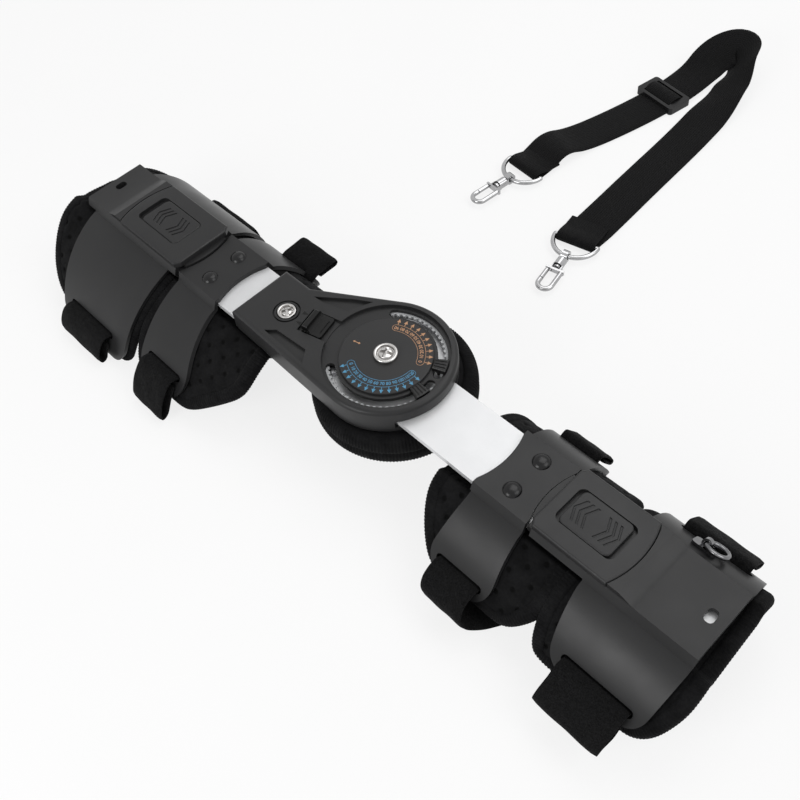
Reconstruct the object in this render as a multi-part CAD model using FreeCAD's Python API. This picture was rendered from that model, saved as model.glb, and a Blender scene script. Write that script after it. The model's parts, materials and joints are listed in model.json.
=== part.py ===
import FreeCAD, Part
import math
import os
from FreeCAD import Vector

# Single-upright range-of-motion knee brace lying with its dial up, and its clip-on shoulder strap.
# Working frame: the hinge pivot is the Z axis, z = 0 is the top face of both bars, the calf section
# runs along +X and the thigh section along -X. Everything is moved to the final origin at the end.
# A section's own frame has x pointing outwards from the pivot and y across the bar.

# bars
bar_width = 36.0
bar_thickness = 3.0
calf_offset = -3.2          # bar centre line from the pivot, across the brace
thigh_offset = -15.0
calf_bar_end = 201.0
thigh_bar_end = 214.0
thigh_bar_start = 35.5
disc_radius = 31.0          # round end of the calf bar, inside the hinge

# hinge housing
housing_radius = 37.0
housing_top = 8.5
housing_wall = 2.6
housing_floor_top = 6.5
housing_floor_under = 4.4
neck_end = 84.0
neck_half = 19.6
shoulder_x = 64.0           # where the far side starts to widen
shoulder_deg = 119.0        # where that side meets the round part
back_plate_thickness = 1.5
back_cover_thickness = 3.3
side_wall_bottom = -4.6
window_start_deg = -38.5    # side window that the calf bar swings in
window_end_deg = 151.0
lid_gap = 0.1

# dial, stops and pivot
dial_radius = 24.6
dial_top = 8.1
slot_radius = 29.0
slot_width = 5.0
flexion_slot_deg = (-125.0, 5.5)
extension_slot_deg = (19.0, 128.0)
flexion_stop_deg = -9.5
extension_stop_deg = 28.0
stop_ring_outer = 33.6
stop_ring_tooth = 29.5
stop_ring_root = 30.5
stop_ring_teeth = 60
stop_ring_bottom = 3.0
stem_inner = 27.0
stem_outer = 28.9
stem_half_deg = 2.2
pivot_radius = 5.0
running_gap = 0.05
pivot_head_radius = 6.3
cam_outer = 29.4
cam_height = 2.3

# neck screw and quick lock lie on one line through the pivot
neck_line_deg = 194.0
neck_screw_distance = 62.5
neck_screw_head = 5.2
lock_distance = 43.0
lock_travel = 4.0
lock_bolt_half = 2.5

# cuffs
shell_thickness = 2.2
plate_thickness = 3.0
plate_half = 19.3
cuff_step = 5.5             # drop from the plate to the wings
step_out = 2.2
rivet_from_edge = 16.4
rivet_half_spacing = 10.25
rivet_shank = 2.0
rivet_head = 4.7
cuff_gap = 1.6              # inner cuff to the sliding cover
cover_half = 19.8
cover_top = 7.5
cover_bow = 4.0
end_top = 4.0
end_hole_from_end = 7.3
slide_travel = 40.0
lock_hole_pitch = 10.0
lock_pin_radius = 2.3
pocket_half = 10.6
pocket_gap = 0.3
side_gap = 0.3
scoop_depth = 3.2
strap_slot_width = 4.6
strap_thickness = 2.0

# pads and the floor
pad_gap = 0.4
pad_thickness = 7.0
condyle_radius = 44.5
condyle_thickness = 20.0
floor_depth = 52.5

# Each section's own sizes, in its own frame, with the +y side first.
# A wing: arc radius, end angle, its span along the bar at the top and at its end.
# A pad side: its outline seen from the side, as x and z from its top hinge corner round to the other.
# A strap: slot angle, slot span, length and thickness of the fold, lean outwards.
calf_sizes = {
    "name": "calf",
    "inner_start": 80.8,
    "inner_length": 32.4,
    "cover_length": 43.0,
    "end_length": 46.8,
    "pocket_from_cover": 22.4,
    "pocket_length": 32.4,
    "thumb_length": 28.0,
    "thumb_shift": 0.0,
    "inner_wings": ((46.0, 84.0, (81.5, 113.2), (80.0, 114.0)),
                    (58.0, 66.0, (81.5, 113.2), (77.5, 119.0))),
    "outer_wings": ((46.0, 84.0, (150.0, 204.4), (153.0, 201.0)),
                    (58.0, 63.0, (147.5, 204.4), (154.0, 201.0))),
    "inner_pad": (((60.0, -14.0), (66.0, -52.5), (110.0, -52.5), (141.0, -24.0)),
                  ((59.0, -9.0), (80.0, -38.0), (128.0, -38.0), (142.0, -20.0))),
    "outer_pad": (((143.5, -12.0), (152.0, -38.0), (204.0, -38.0), (209.5, -20.0)),
                  ((143.5, -12.0), (152.0, -31.0), (205.0, -31.0), (212.5, -16.0))),
    "inner_straps": ((60.0, (84.0, 110.0), 22.0, 3.6, 2.0), (57.0, (84.0, 112.0), 26.0, 7.0, -6.0)),
    "outer_straps": ((49.5, (160.0, 197.0), 20.0, 4.0, 0.0), (54.5, (158.5, 196.5), 22.0, 7.0, 8.0)),
}
thigh_sizes = {
    "name": "thigh",
    "inner_start": 100.7,
    "inner_length": 33.0,
    "cover_length": 55.5,
    "end_length": 36.5,
    "pocket_from_cover": 32.5,
    "pocket_length": 37.5,
    "thumb_length": 33.0,
    "thumb_shift": -2.0,
    "inner_wings": ((72.0, 64.0, (100.7, 134.2), (85.0, 131.0)),
                    (47.0, 84.0, (100.7, 134.2), (88.0, 131.0))),
    "outer_wings": ((72.0, 72.5, (144.5, 219.5), (146.5, 209.0)),
                    (47.0, 84.0, (139.0, 219.5), (146.0, 211.0))),
    "inner_pad": (((54.0, -18.0), (94.0, -44.0), (128.0, -44.0), (137.0, -24.0)),
                  ((62.0, -18.0), (80.0, -52.5), (130.0, -52.5), (137.0, -30.0))),
    "outer_pad": (((140.5, -14.0), (150.0, -52.5), (204.0, -52.5), (237.0, -16.0)),
                  ((140.5, -14.0), (150.0, -52.5), (210.0, -52.5), (238.0, -14.0))),
    "inner_straps": ((53.0, (96.0, 126.0), 25.0, 7.0, -6.0), (58.0, (88.0, 120.0), 20.0, 4.0, 0.0)),
    "outer_straps": ((61.5, (159.0, 203.0), 16.0, 7.0, -4.0), (76.0, (159.0, 203.0), 12.0, 3.0, 0.0)),
}
clip_along = 175.5
clip_deg = 38.8
clip_wire = 1.15
clip_height = 3.1
clip_ring_radius = 5.2

# detached shoulder strap, lying on the floor beyond the hinge
strap_width = 28.0
webbing_thickness = 2.2
ring_wire = 1.5
ring_half = 14.5
hook_wire = 1.6
hook_half = 4.4
hook_length = 12.0
gate_length = 8.5

nodes = {}


def vec(x, y, z=0.0):
    return Vector(x, y, z)


def polar(radius, deg, z=0.0):
    a = math.radians(deg)
    return vec(radius * math.cos(a), radius * math.sin(a), z)


def cylinder(radius, low, high, x=0.0, y=0.0):
    return Part.makeCylinder(radius, high - low, vec(x, y, low))


def block(x0, x1, y0, y1, z0, z1):
    return Part.makeBox(x1 - x0, y1 - y0, z1 - z0, vec(x0, y0, z0))


def prism(points, low, high):
    """A closed polygon in plan, raised from low to high."""
    wire = Part.makePolygon([vec(x, y, low) for x, y in points + points[:1]])
    return Part.Face(wire).extrude(vec(0, 0, high - low))


def arc_strip(r0, r1, deg0, deg1, low, high):
    """A flat arc between two radii and two angles."""
    mid = (deg0 + deg1) / 2
    edges = [
        Part.Arc(polar(r1, deg0, low), polar(r1, mid, low), polar(r1, deg1, low)).toShape(),
        Part.LineSegment(polar(r1, deg1, low), polar(r0, deg1, low)).toShape(),
        Part.Arc(polar(r0, deg1, low), polar(r0, mid, low), polar(r0, deg0, low)).toShape(),
        Part.LineSegment(polar(r0, deg0, low), polar(r1, deg0, low)).toShape(),
    ]
    return Part.Face(Part.Wire(edges)).extrude(vec(0, 0, high - low))


def arc_slot(radius, width, degs, low, high):
    slot = arc_strip(radius - width / 2, radius + width / 2, degs[0], degs[1], low, high)
    for deg in degs:
        p = polar(radius, deg)
        slot = slot.fuse(cylinder(width / 2, low, high, p.x, p.y))
    return slot.removeSplitter()


def rounded_block(x0, x1, y0, y1, z0, z1, r):
    body = block(x0, x1, y0, y1, z0, z1)
    upright = [e for e in body.Edges if abs(e.Vertexes[0].Z - e.Vertexes[1].Z) > (z1 - z0) / 2]
    return body.makeFillet(r, upright)


def soften(shape, r, pick):
    """Fillet the edges that pick(edge) chooses."""
    edges = [e for e in shape.Edges if pick(e)]
    return shape.makeFillet(r, edges) if edges else shape


def at_height(z):
    return lambda e: all(abs(v.Z - z) < 1e-4 for v in e.Vertexes)


def turned(shape, deg, centre=None):
    out = shape.copy()
    out.rotate(centre or vec(0, 0), vec(0, 0, 1), deg)
    return out


def moved(shape, x=0.0, y=0.0, z=0.0):
    out = shape.copy()
    out.translate(vec(x, y, z))
    return out


def calf(shape):
    return moved(shape, y=calf_offset)


def thigh(shape):
    return moved(turned(shape, 180), y=thigh_offset)


# ---- hinge ----

def housing_outline(inset, low, high):
    """Round part, neck and widening shoulder, all drawn in by inset."""
    r = housing_radius - inset
    near = thigh_offset - neck_half + inset
    far = thigh_offset + neck_half - inset
    end = -neck_end + inset
    tangent = polar(r, shoulder_deg)
    corners = [(0, -r), (0, far), (tangent.x, tangent.y), (-shoulder_x, far), (end, far), (end, near)]
    neck = prism(corners, low, high)
    return cylinder(r, low, high).fuse(neck).removeSplitter()


def lock_line(distance):
    return polar(distance, neck_line_deg)


def front_cover():
    body = housing_outline(0, side_wall_bottom, housing_top)
    body = soften(body, 2.4, at_height(housing_top))
    body = body.cut(housing_outline(housing_wall, side_wall_bottom - 1, housing_floor_under))
    window = arc_strip(housing_radius - 6, housing_radius + 3, window_start_deg, window_end_deg,
                       side_wall_bottom - 1, 0.6)
    body = body.cut(window)
    bar_channel = block(-neck_end - 1, -thigh_bar_start + side_gap, thigh_offset - bar_width / 2 - side_gap,
                        thigh_offset + bar_width / 2 + side_gap, side_wall_bottom - 1, 0)
    body = body.cut(bar_channel)
    body = body.cut(cylinder(housing_radius - 3.6, housing_floor_top, housing_top + 1))
    body = body.cut(cylinder(pivot_radius + running_gap, 0, housing_top))
    for degs in (flexion_slot_deg, extension_slot_deg):
        body = body.cut(arc_slot(slot_radius, slot_width, degs, 0, housing_top))
    near_pocket = prism([(-60, -31.5), (-47, -31.8), (-28, -32.6), (-33.5, -25.5), (-55, -27)], 6.6, 10)
    far_pocket = prism([(-57.5, 1.6), (-50, 2.2), (-36.5, 6.5), (-30.5, 20), (-40, 14.5)], 6.6, 10)
    body = body.cut(near_pocket).cut(far_pocket)
    p = lock_line(neck_screw_distance)
    body = body.cut(cylinder(neck_screw_head + 2.4, 7.2, 10, p.x, p.y))
    collar = cylinder(neck_screw_head + 1.5, 7.2, 8.6, p.x, p.y)
    collar = collar.cut(cylinder(neck_screw_head + 0.4, 7, 9, p.x, p.y))
    boss = cylinder(neck_screw_head, 0.0, 6.0, p.x, p.y)
    body = body.fuse(collar).fuse(boss)
    body = body.cut(cylinder(2.6, -5, 10, p.x, p.y)).cut(cylinder(neck_screw_head + 0.1, 7.2, 10, p.x, p.y))
    track = block(lock_distance - 10.5, lock_distance + 7.5, -7.8, 7.8, 6.9, 10)
    opening = block(lock_distance - 6.2, lock_distance + 3.2, -3.2, 3.2, 0.3, 10)
    body = body.cut(turned(track, neck_line_deg)).cut(turned(opening, neck_line_deg))
    return body.removeSplitter()


def back_plate():
    top = -bar_thickness - lid_gap
    plate = housing_outline(housing_wall + 0.3, top - back_plate_thickness, top)
    p = lock_line(neck_screw_distance)
    return plate.cut(cylinder(pivot_radius + running_gap, -9, 9)).cut(cylinder(2.6, -9, 9, p.x, p.y))


def back_cover():
    top = -bar_thickness - lid_gap - back_plate_thickness
    cover = housing_outline(0.4, top - back_cover_thickness, top)
    cover = soften(cover, 1.2, at_height(top - back_cover_thickness))
    cover = cover.cut(cylinder(pivot_radius + running_gap, -20, 9)).cut(cylinder(8.2, -20, top - 1.5))
    p = lock_line(neck_screw_distance)
    return cover.cut(cylinder(2.6, -20, 9, p.x, p.y)).cut(cylinder(5.2, -20, top - 1.5, p.x, p.y))


def dial_face():
    disc = cylinder(dial_radius, housing_floor_top, dial_top)
    disc = soften(disc, 0.6, at_height(dial_top))
    return disc.cut(cylinder(pivot_radius + running_gap, 0, 20))


def stop_ring():
    """Toothed ring under the slots; the stops click into it."""
    step = 360.0 / stop_ring_teeth
    points = []
    for i in range(stop_ring_teeth):
        for share, radius in ((0.0, stop_ring_root), (0.35, stop_ring_root), (0.5, stop_ring_tooth),
                              (0.85, stop_ring_tooth)):
            p = polar(radius, (i + share) * step)
            points.append((p.x, p.y))
    hole = prism(points, stop_ring_bottom - 1, housing_floor_under + 1)
    return cylinder(stop_ring_outer, stop_ring_bottom, housing_floor_under).cut(hole)


def stop_slider(deg):
    """Finger button, stem through the slot and the foot that meets the cam."""
    button = arc_strip(25.3, 32.7, -7.0, 7.0, housing_floor_top + 0.1, 9.3)
    button = soften(button, 0.8, at_height(9.3))
    for groove in (-3.6, 0.0, 3.6):
        button = button.cut(arc_strip(25.9, 32.1, groove - 0.6, groove + 0.6, 8.8, 10))
    stem = arc_strip(stem_inner, slot_radius + 2.2, -4.5, 4.5, housing_floor_under, housing_floor_top + 1)
    foot = arc_strip(stem_inner, stem_outer, -stem_half_deg, stem_half_deg, 0.9, housing_floor_top)
    return turned(button.fuse(stem).fuse(foot).removeSplitter(), deg)


def pivot_nut():
    """Barrel nut from the back: flange and bearing sleeve."""
    low = side_wall_bottom - back_cover_thickness
    nut = cylinder(pivot_radius, low, 6.2).fuse(cylinder(8.0, low, low + 1.6))
    return nut.cut(cylinder(3.0, low + 1.6, 9)).removeSplitter()


def pivot_screw():
    head = cylinder(pivot_head_radius, dial_top + 0.05, dial_top + 2.2)
    head = soften(head, 1.2, at_height(dial_top + 2.2))
    cross = block(-3.2, 3.2, -0.9, 0.9, dial_top + 1.0, 12)
    cross = cross.fuse(block(-0.9, 0.9, -3.2, 3.2, dial_top + 1.0, 12))
    return head.cut(turned(cross, 25)).fuse(cylinder(2.95, -4.5, dial_top + 0.1)).removeSplitter()


def neck_screw():
    p = lock_line(neck_screw_distance)
    head = soften(cylinder(neck_screw_head, 7.25, 8.9), 1.0, at_height(8.9))
    cross = block(-2.8, 2.8, -0.8, 0.8, 8.0, 12).fuse(block(-0.8, 0.8, -2.8, 2.8, 8.0, 12))
    screw = head.cut(turned(cross, 60)).fuse(cylinder(2.5, -6.3, 7.3)).removeSplitter()
    return moved(screw, p.x, p.y)


def neck_nut():
    p = lock_line(neck_screw_distance)
    low = side_wall_bottom - back_cover_thickness
    return cylinder(5.0, low, low + 1.7, p.x, p.y).cut(cylinder(2.55, low + 1.0, 0, p.x, p.y))


def hinge_cam():
    """Ring on the calf bar's disc: the flexion tab and the notched lug that the quick lock enters."""
    low, high = 0.0, cam_height
    ring = cylinder(12, low, high).cut(cylinder(pivot_radius + 2, low, high))
    tab = arc_strip(11, cam_outer - 0.6, 225, 236.8, low, high)
    lug = arc_strip(11, cam_outer, neck_line_deg - 16, neck_line_deg + 16, low, high)
    side = lock_bolt_half + 0.25
    notch = block(cam_outer - lock_travel - 0.4, cam_outer + 3, -side, side, low - 1, high + 1)
    return ring.fuse(tab).fuse(lug).cut(turned(notch, neck_line_deg)).removeSplitter()


def quick_lock():
    """Thumb block with its finger ridge."""
    base = rounded_block(lock_distance - 7.0, lock_distance + 5.5, -7.2, 7.2, 7.0, 8.8, 1.2)
    ridge = block(lock_distance - 1.0, lock_distance + 5.0, -6.6, 6.6, 8.7, 12.2)
    scoop = Part.makeCylinder(9.0, 20, vec(lock_distance - 7.2, -10, 14.6), vec(0, 1, 0))
    ridge = soften(ridge, 1.2, lambda e: all(v.Z > 12 for v in e.Vertexes)).cut(scoop)
    grip = block(lock_distance - 5.8, lock_distance - 4.8, -4.5, 4.5, 8.3, 9)
    stem = block(lock_distance - 2.0, lock_distance + 2.6, -2.6, 2.6, 2.9, 7.2)
    return turned(base.fuse(ridge).cut(grip).fuse(stem).removeSplitter(), neck_line_deg)


def lock_bolt():
    tip = cam_outer + 0.5
    bolt = block(tip, lock_distance + 2.4, -lock_bolt_half, lock_bolt_half, 0.25, 2.9)
    return turned(bolt, neck_line_deg)


def condyle_pad():
    top = side_wall_bottom - back_cover_thickness - 0.3
    pad = cylinder(condyle_radius, top - condyle_thickness, top, 1.5, 2.0)
    pad = soften(pad, 5.0, lambda e: e.Length > 100)
    return pad


# ---- bars ----

def cover_start(sizes):
    return sizes["inner_start"] + sizes["inner_length"] + cuff_gap


def cover_end(sizes):
    return cover_start(sizes) + sizes["cover_length"]


def outer_end(sizes):
    return cover_end(sizes) + sizes["end_length"]


def pocket_middle(sizes):
    return cover_start(sizes) + sizes["pocket_from_cover"]


def bar_blank(start, end, sizes):
    """Flat strip with its rivet holes and the row of lock holes that the slide's pin drops into."""
    bar = rounded_block(start, end, -bar_width / 2, bar_width / 2, -bar_thickness, 0, 3.0)
    for side in (-1, 1):
        bar = bar.cut(cylinder(rivet_shank + running_gap, -5, 5, sizes["inner_start"] + rivet_from_edge,
                               side * rivet_half_spacing))
    for i in range(int(slide_travel / lock_hole_pitch) + 1):
        x = pocket_middle(sizes) + i * lock_hole_pitch
        bar = bar.cut(cylinder(lock_pin_radius + 0.3, -5, 5, x, 0))
    return bar


def calf_bar():
    bar = calf(bar_blank(5, calf_bar_end, calf_sizes)).fuse(cylinder(disc_radius, -bar_thickness, 0))
    return bar.cut(cylinder(pivot_radius + running_gap, -9, 9)).removeSplitter()


def thigh_bar():
    p = lock_line(neck_screw_distance)
    bar = thigh(bar_blank(thigh_bar_start, thigh_bar_end, thigh_sizes))
    return bar.cut(cylinder(2.6, -9, 9, p.x, p.y))


# ---- cuffs ----

def arc_centre(radius, top):
    """Height of the centre of a wing's arc, so that the arc starts at the foot of the step."""
    return top - cuff_step - math.sqrt(radius ** 2 - (plate_half + step_out) ** 2)


def on_arc(radius, centre, deg, side):
    a = math.radians(deg)
    return vec(0, side * radius * math.sin(a), centre + radius * math.cos(a))


def arc_edge(radius, centre, deg0, deg1, side):
    ends = [on_arc(radius, centre, d, side) for d in (deg0, (deg0 + deg1) / 2, deg1)]
    return Part.Arc(*ends).toShape()


def start_deg(radius, reach):
    return math.degrees(math.asin(reach / radius))


def half_profile(side, radius, end, top):
    """Section of one side of a shell, from the middle to the wing's end."""
    centre = arc_centre(radius, top)
    inside = radius - shell_thickness
    foot = plate_half + step_out
    first, first_in = start_deg(radius, foot), start_deg(inside, foot - shell_thickness)
    shoulder = vec(0, side * plate_half, top)
    corner = vec(0, side * (bar_width / 2 + side_gap), top - plate_thickness)
    edges = [
        Part.LineSegment(vec(0, 0, top), shoulder).toShape(),
        Part.LineSegment(shoulder, on_arc(radius, centre, first, side)).toShape(),
        arc_edge(radius, centre, first, end, side),
        Part.LineSegment(on_arc(radius, centre, end, side), on_arc(inside, centre, end, side)).toShape(),
        arc_edge(inside, centre, end, first_in, side),
        Part.LineSegment(on_arc(inside, centre, first_in, side), corner).toShape(),
        Part.LineSegment(corner, vec(0, 0, top - plate_thickness)).toShape(),
        Part.LineSegment(vec(0, 0, top - plate_thickness), vec(0, 0, top)).toShape(),
    ]
    return Part.Face(Part.Wire(Part.__sortEdges__(edges)))


def side_window(side, outline, corner):
    """Side view of a wing or pad as a block on one side, rounded at its lowest corners."""
    points = [(outline[0][0], 30)] + list(outline) + [(outline[-1][0], 30)]
    bottom = min(z for x, z in outline)
    wire = Part.makePolygon([vec(x, 0, z) for x, z in points + points[:1]])
    solid = Part.Face(wire).extrude(vec(0, side * 130, 0))
    across = [e for e in solid.Edges if abs(e.Vertexes[0].Y - e.Vertexes[-1].Y) > 100]
    ends = [e for e in across if abs(e.Vertexes[0].Z - bottom) < 1e-4]
    return solid.makeFillet(corner, ends)


def wing_slot(radius, side, top, deg, span):
    """Strap slot through a wing at an angle round its arc."""
    tool = block(span[0], span[1], -strap_slot_width / 2, strap_slot_width / 2, radius - 8, radius + 8)
    upright = [e for e in tool.Edges if abs(e.Vertexes[0].Z - e.Vertexes[1].Z) > 10]
    tool = tool.makeFillet(strap_slot_width / 2 - 0.1, upright)
    tool.rotate(vec(0, 0, 0), vec(1, 0, 0), -side * deg)
    return moved(tool, z=arc_centre(radius, top))


def shell(x0, x1, wings, top, straps):
    """A cuff shell: a flat plate from x0 to x1 with a curved wing on each side."""
    body = None
    for side, wing, strap in ((1, wings[0], straps[0]), (-1, wings[1], straps[1])):
        radius, end, (left, right), (low_left, low_right) = wing
        tip = arc_centre(radius, top) + radius * math.cos(math.radians(end)) - 0.01
        knee = top - cuff_step - 1.5
        part = moved(half_profile(side, radius, end, top).extrude(vec(x1 - x0 + 40, 0, 0)), x=x0 - 20)
        outline = ((left, knee), (low_left, tip), (low_right, tip), (right, knee))
        window = side_window(side, outline, 12.0)
        plate = block(x0, x1, min(0, side * 60), max(0, side * 60), top - cuff_step + 0.6, top + 1)
        part = part.common(window.fuse(plate)).cut(wing_slot(radius, side, top, strap[0], strap[1]))
        body = part if body is None else body.fuse(part)
    return body.removeSplitter()


def scoop_radius():
    chord = plate_half * 0.86
    return (chord ** 2 + scoop_depth ** 2) / (2 * scoop_depth)


def inner_cuff(sizes):
    """Riveted cuff beside the hinge, hollowed at both ends of its plate."""
    x0, x1 = sizes["inner_start"], sizes["inner_start"] + sizes["inner_length"]
    body = shell(x0, x1, sizes["inner_wings"], plate_thickness, sizes["inner_straps"])
    for x in (x0 + scoop_depth - scoop_radius(), x1 - scoop_depth + scoop_radius()):
        body = body.cut(cylinder(scoop_radius(), -1, plate_thickness + 1, x, 0))
    for side in (-1, 1):
        y = side * rivet_half_spacing
        body = body.cut(cylinder(rivet_shank + running_gap, -9, 9, x0 + rivet_from_edge, y))
    return body


def rivets(sizes):
    group = []
    top = plate_thickness
    for side in (-1, 1):
        x, y = sizes["inner_start"] + rivet_from_edge, side * rivet_half_spacing
        head = soften(cylinder(rivet_head, top, top + 1.9, x, y), 1.5, at_height(top + 1.9))
        tail = cylinder(rivet_shank + 1.4, -bar_thickness - 0.9, -bar_thickness, x, y)
        shank = cylinder(rivet_shank, -bar_thickness, top, x, y)
        group.append(head.fuse(shank).fuse(tail).removeSplitter())
    return Part.makeCompound(group)


def cover_arc(sizes):
    """Radius and centre of the cover's bowed outer end."""
    radius = (cover_half ** 2 + cover_bow ** 2) / (2 * cover_bow)
    return radius, cover_end(sizes) + cover_bow - radius


def outer_cuff(sizes):
    """Sliding shell: plate under the cover, ramp up to the cover's outer end, end hole and two wings."""
    first, last, end = cover_start(sizes), outer_end(sizes), cover_end(sizes)
    body = shell(first + 2.0, last, sizes["outer_wings"], end_top, sizes["outer_straps"])
    top = cover_top - 0.3
    ramp = [(end - 6, end_top - 0.5), (end - 6, top), (end + 6.5, top), (end + 9.5, top - 1.0),
            (end + 12.5, end_top + 0.6), (end + 15.5, end_top), (end + 15.5, end_top - 0.5)]
    wire = Part.makePolygon([vec(x, -plate_half, z) for x, z in ramp + ramp[:1]])
    radius, middle = cover_arc(sizes)
    wedge = Part.Face(wire).extrude(vec(0, 2 * plate_half, 0))
    body = body.fuse(wedge.cut(cylinder(radius + 0.3, end_top, cover_top + 1, middle, 0)))
    x1 = sizes["inner_start"] + sizes["inner_length"]
    scoop_middle = x1 - scoop_depth + scoop_radius()
    tongue = cylinder(scoop_radius() - 0.7, end_top - plate_thickness, end_top, scoop_middle, 0)
    body = body.fuse(tongue.common(block(x1 - 6, first + 6, -14.5, 14.5, -1, end_top)))
    hole_x = last - end_hole_from_end
    hole = rounded_block(hole_x - 2.4, hole_x + 2.4, -3.6, 3.6, -5, 9, 2.2)
    pin = cylinder(lock_pin_radius + 0.3, -5, 9, pocket_middle(sizes), 0)
    return body.cut(hole).cut(pin).removeSplitter()


def slide_cover(sizes):
    """Raised cover with its thumb-slider pocket, straight and chamfered at the hinge end."""
    first, end = cover_start(sizes), cover_end(sizes) + cover_bow
    corners = [(first, -cover_half + 3.5), (first + 2.4, -cover_half), (end, -cover_half),
               (end, cover_half), (first + 2.4, cover_half), (first, cover_half - 3.5)]
    blank = prism(corners, end_top, cover_top)
    radius, middle = cover_arc(sizes)
    body = blank.common(cylinder(radius, end_top - 1, cover_top + 1, middle, 0))
    body = soften(body, 1.1, at_height(cover_top))
    x, half = pocket_middle(sizes), sizes["pocket_length"] / 2
    pocket = rounded_block(x - half, x + half, -pocket_half, pocket_half, end_top + 1.0, cover_top + 1, 3.5)
    return body.cut(pocket).cut(cylinder(lock_pin_radius + 0.3, end_top - 1, cover_top, x, 0))


def thumb_slider(sizes):
    """Thumb plate with three engraved chevrons pointing to each end."""
    x, half = pocket_middle(sizes) + sizes["thumb_shift"], sizes["thumb_length"] / 2
    wide = pocket_half - pocket_gap
    top = cover_top + 0.3
    plate = rounded_block(x - half, x + half, -wide, wide, end_top + 1.1, top, 3.0)
    plate = soften(plate, 0.8, at_height(top))
    for way in (-1, 1):
        for i in range(3):
            base = x + way * (2.6 + 3.0 * i)
            arm = [(base, -6.4), (base + way * 1.1, -6.4), (base + way * 4.0, 0),
                   (base + way * 1.1, 6.4), (base, 6.4), (base + way * 2.9, 0)]
            plate = plate.cut(prism(arm, top - 0.6, top + 1))
    return plate


def lock_pin(sizes):
    return cylinder(lock_pin_radius, 0.3, end_top + 0.9, pocket_middle(sizes), 0)


def slide_guide(sizes):
    """Plate under the bar that carries the sliding shell on it."""
    half = plate_half + 0.3
    top = -bar_thickness - side_gap
    return block(cover_start(sizes) + 3, outer_end(sizes) - 12, -half, half, top - 1.5, top)


# ---- soft parts ----

def pad(wings, sides, top):
    """Foam liner inside a shell: flat below the bar, then round both arcs, each side to its own depth."""
    body = None
    crown = -bar_thickness - 5.6
    for side, wing, outline in ((1, wings[0], sides[0]), (-1, wings[1], sides[1])):
        bottom = outline[1][1]
        centre = arc_centre(wing[0], top)
        outside = wing[0] - shell_thickness - pad_gap
        inside = outside - pad_thickness
        end_out = math.degrees(math.acos((bottom - centre) / outside))
        end_in = math.degrees(math.acos((bottom - centre) / inside))
        join = start_deg(outside, plate_half + 2.6)
        join_in = start_deg(inside, plate_half + 1.0)
        flat = vec(0, side * (plate_half + 1.2), crown)
        flat_in = vec(0, side * (plate_half - 3.0), crown - pad_thickness)
        middle, middle_in = vec(0, 0, crown), vec(0, 0, crown - pad_thickness)
        edges = [
            Part.LineSegment(middle, flat).toShape(),
            Part.LineSegment(flat, on_arc(outside, centre, join, side)).toShape(),
            arc_edge(outside, centre, join, end_out, side),
            Part.LineSegment(on_arc(outside, centre, end_out, side),
                             on_arc(inside, centre, end_in, side)).toShape(),
            arc_edge(inside, centre, end_in, join_in, side),
            Part.LineSegment(on_arc(inside, centre, join_in, side), flat_in).toShape(),
            Part.LineSegment(flat_in, middle_in).toShape(),
            Part.LineSegment(middle_in, middle).toShape(),
        ]
        face = Part.Face(Part.Wire(Part.__sortEdges__(edges)))
        part = moved(face.extrude(vec(200, 0, 0)), x=50)
        part = part.common(side_window(side, outline, 9.0))
        body = part if body is None else body.fuse(part)
    return body.removeSplitter()


def strap_fold(radius, side, top, deg, span, length, thickness, lean):
    """Folded strap end: a tongue through the slot and the closed fold hanging outside the wing."""
    x0, x1 = span[0] + 1.0, span[1] - 1.0
    half = strap_thickness / 2
    tongue = block(x0, x1, -half, half, radius - shell_thickness, radius + 1.5)
    fold = block(x0, x1, -half, length, radius + 0.6, radius + 0.6 + thickness)
    at_end_edge = lambda e: min(v.Y for v in e.Vertexes) > length - 1 and e.Length > 20
    fold = soften(fold, thickness * 0.42, at_end_edge)
    fold.rotate(vec(0, 0, radius + 0.6), vec(1, 0, 0), lean)
    body = tongue.fuse(fold).removeSplitter()
    if side < 0:
        body = body.mirror(vec(0, 0, 0), vec(0, 1, 0))
    body.rotate(vec(0, 0, 0), vec(1, 0, 0), -side * deg)
    return moved(body, z=arc_centre(radius, top))


# ---- shoulder strap ----

ring_height = -floor_depth + webbing_thickness + ring_wire + 0.1
# strap ends: centre of the D-ring's straight bar and the way its hook points
strap_end_a = (-80.5, 200.0, -96.0)
strap_end_b = (-12.0, 169.5, -78.0)
tri_glide_at = (-57.5, 319.0, 80.0)


def at_end(shape, end):
    return moved(turned(shape, end[2]), end[0], end[1])


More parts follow.
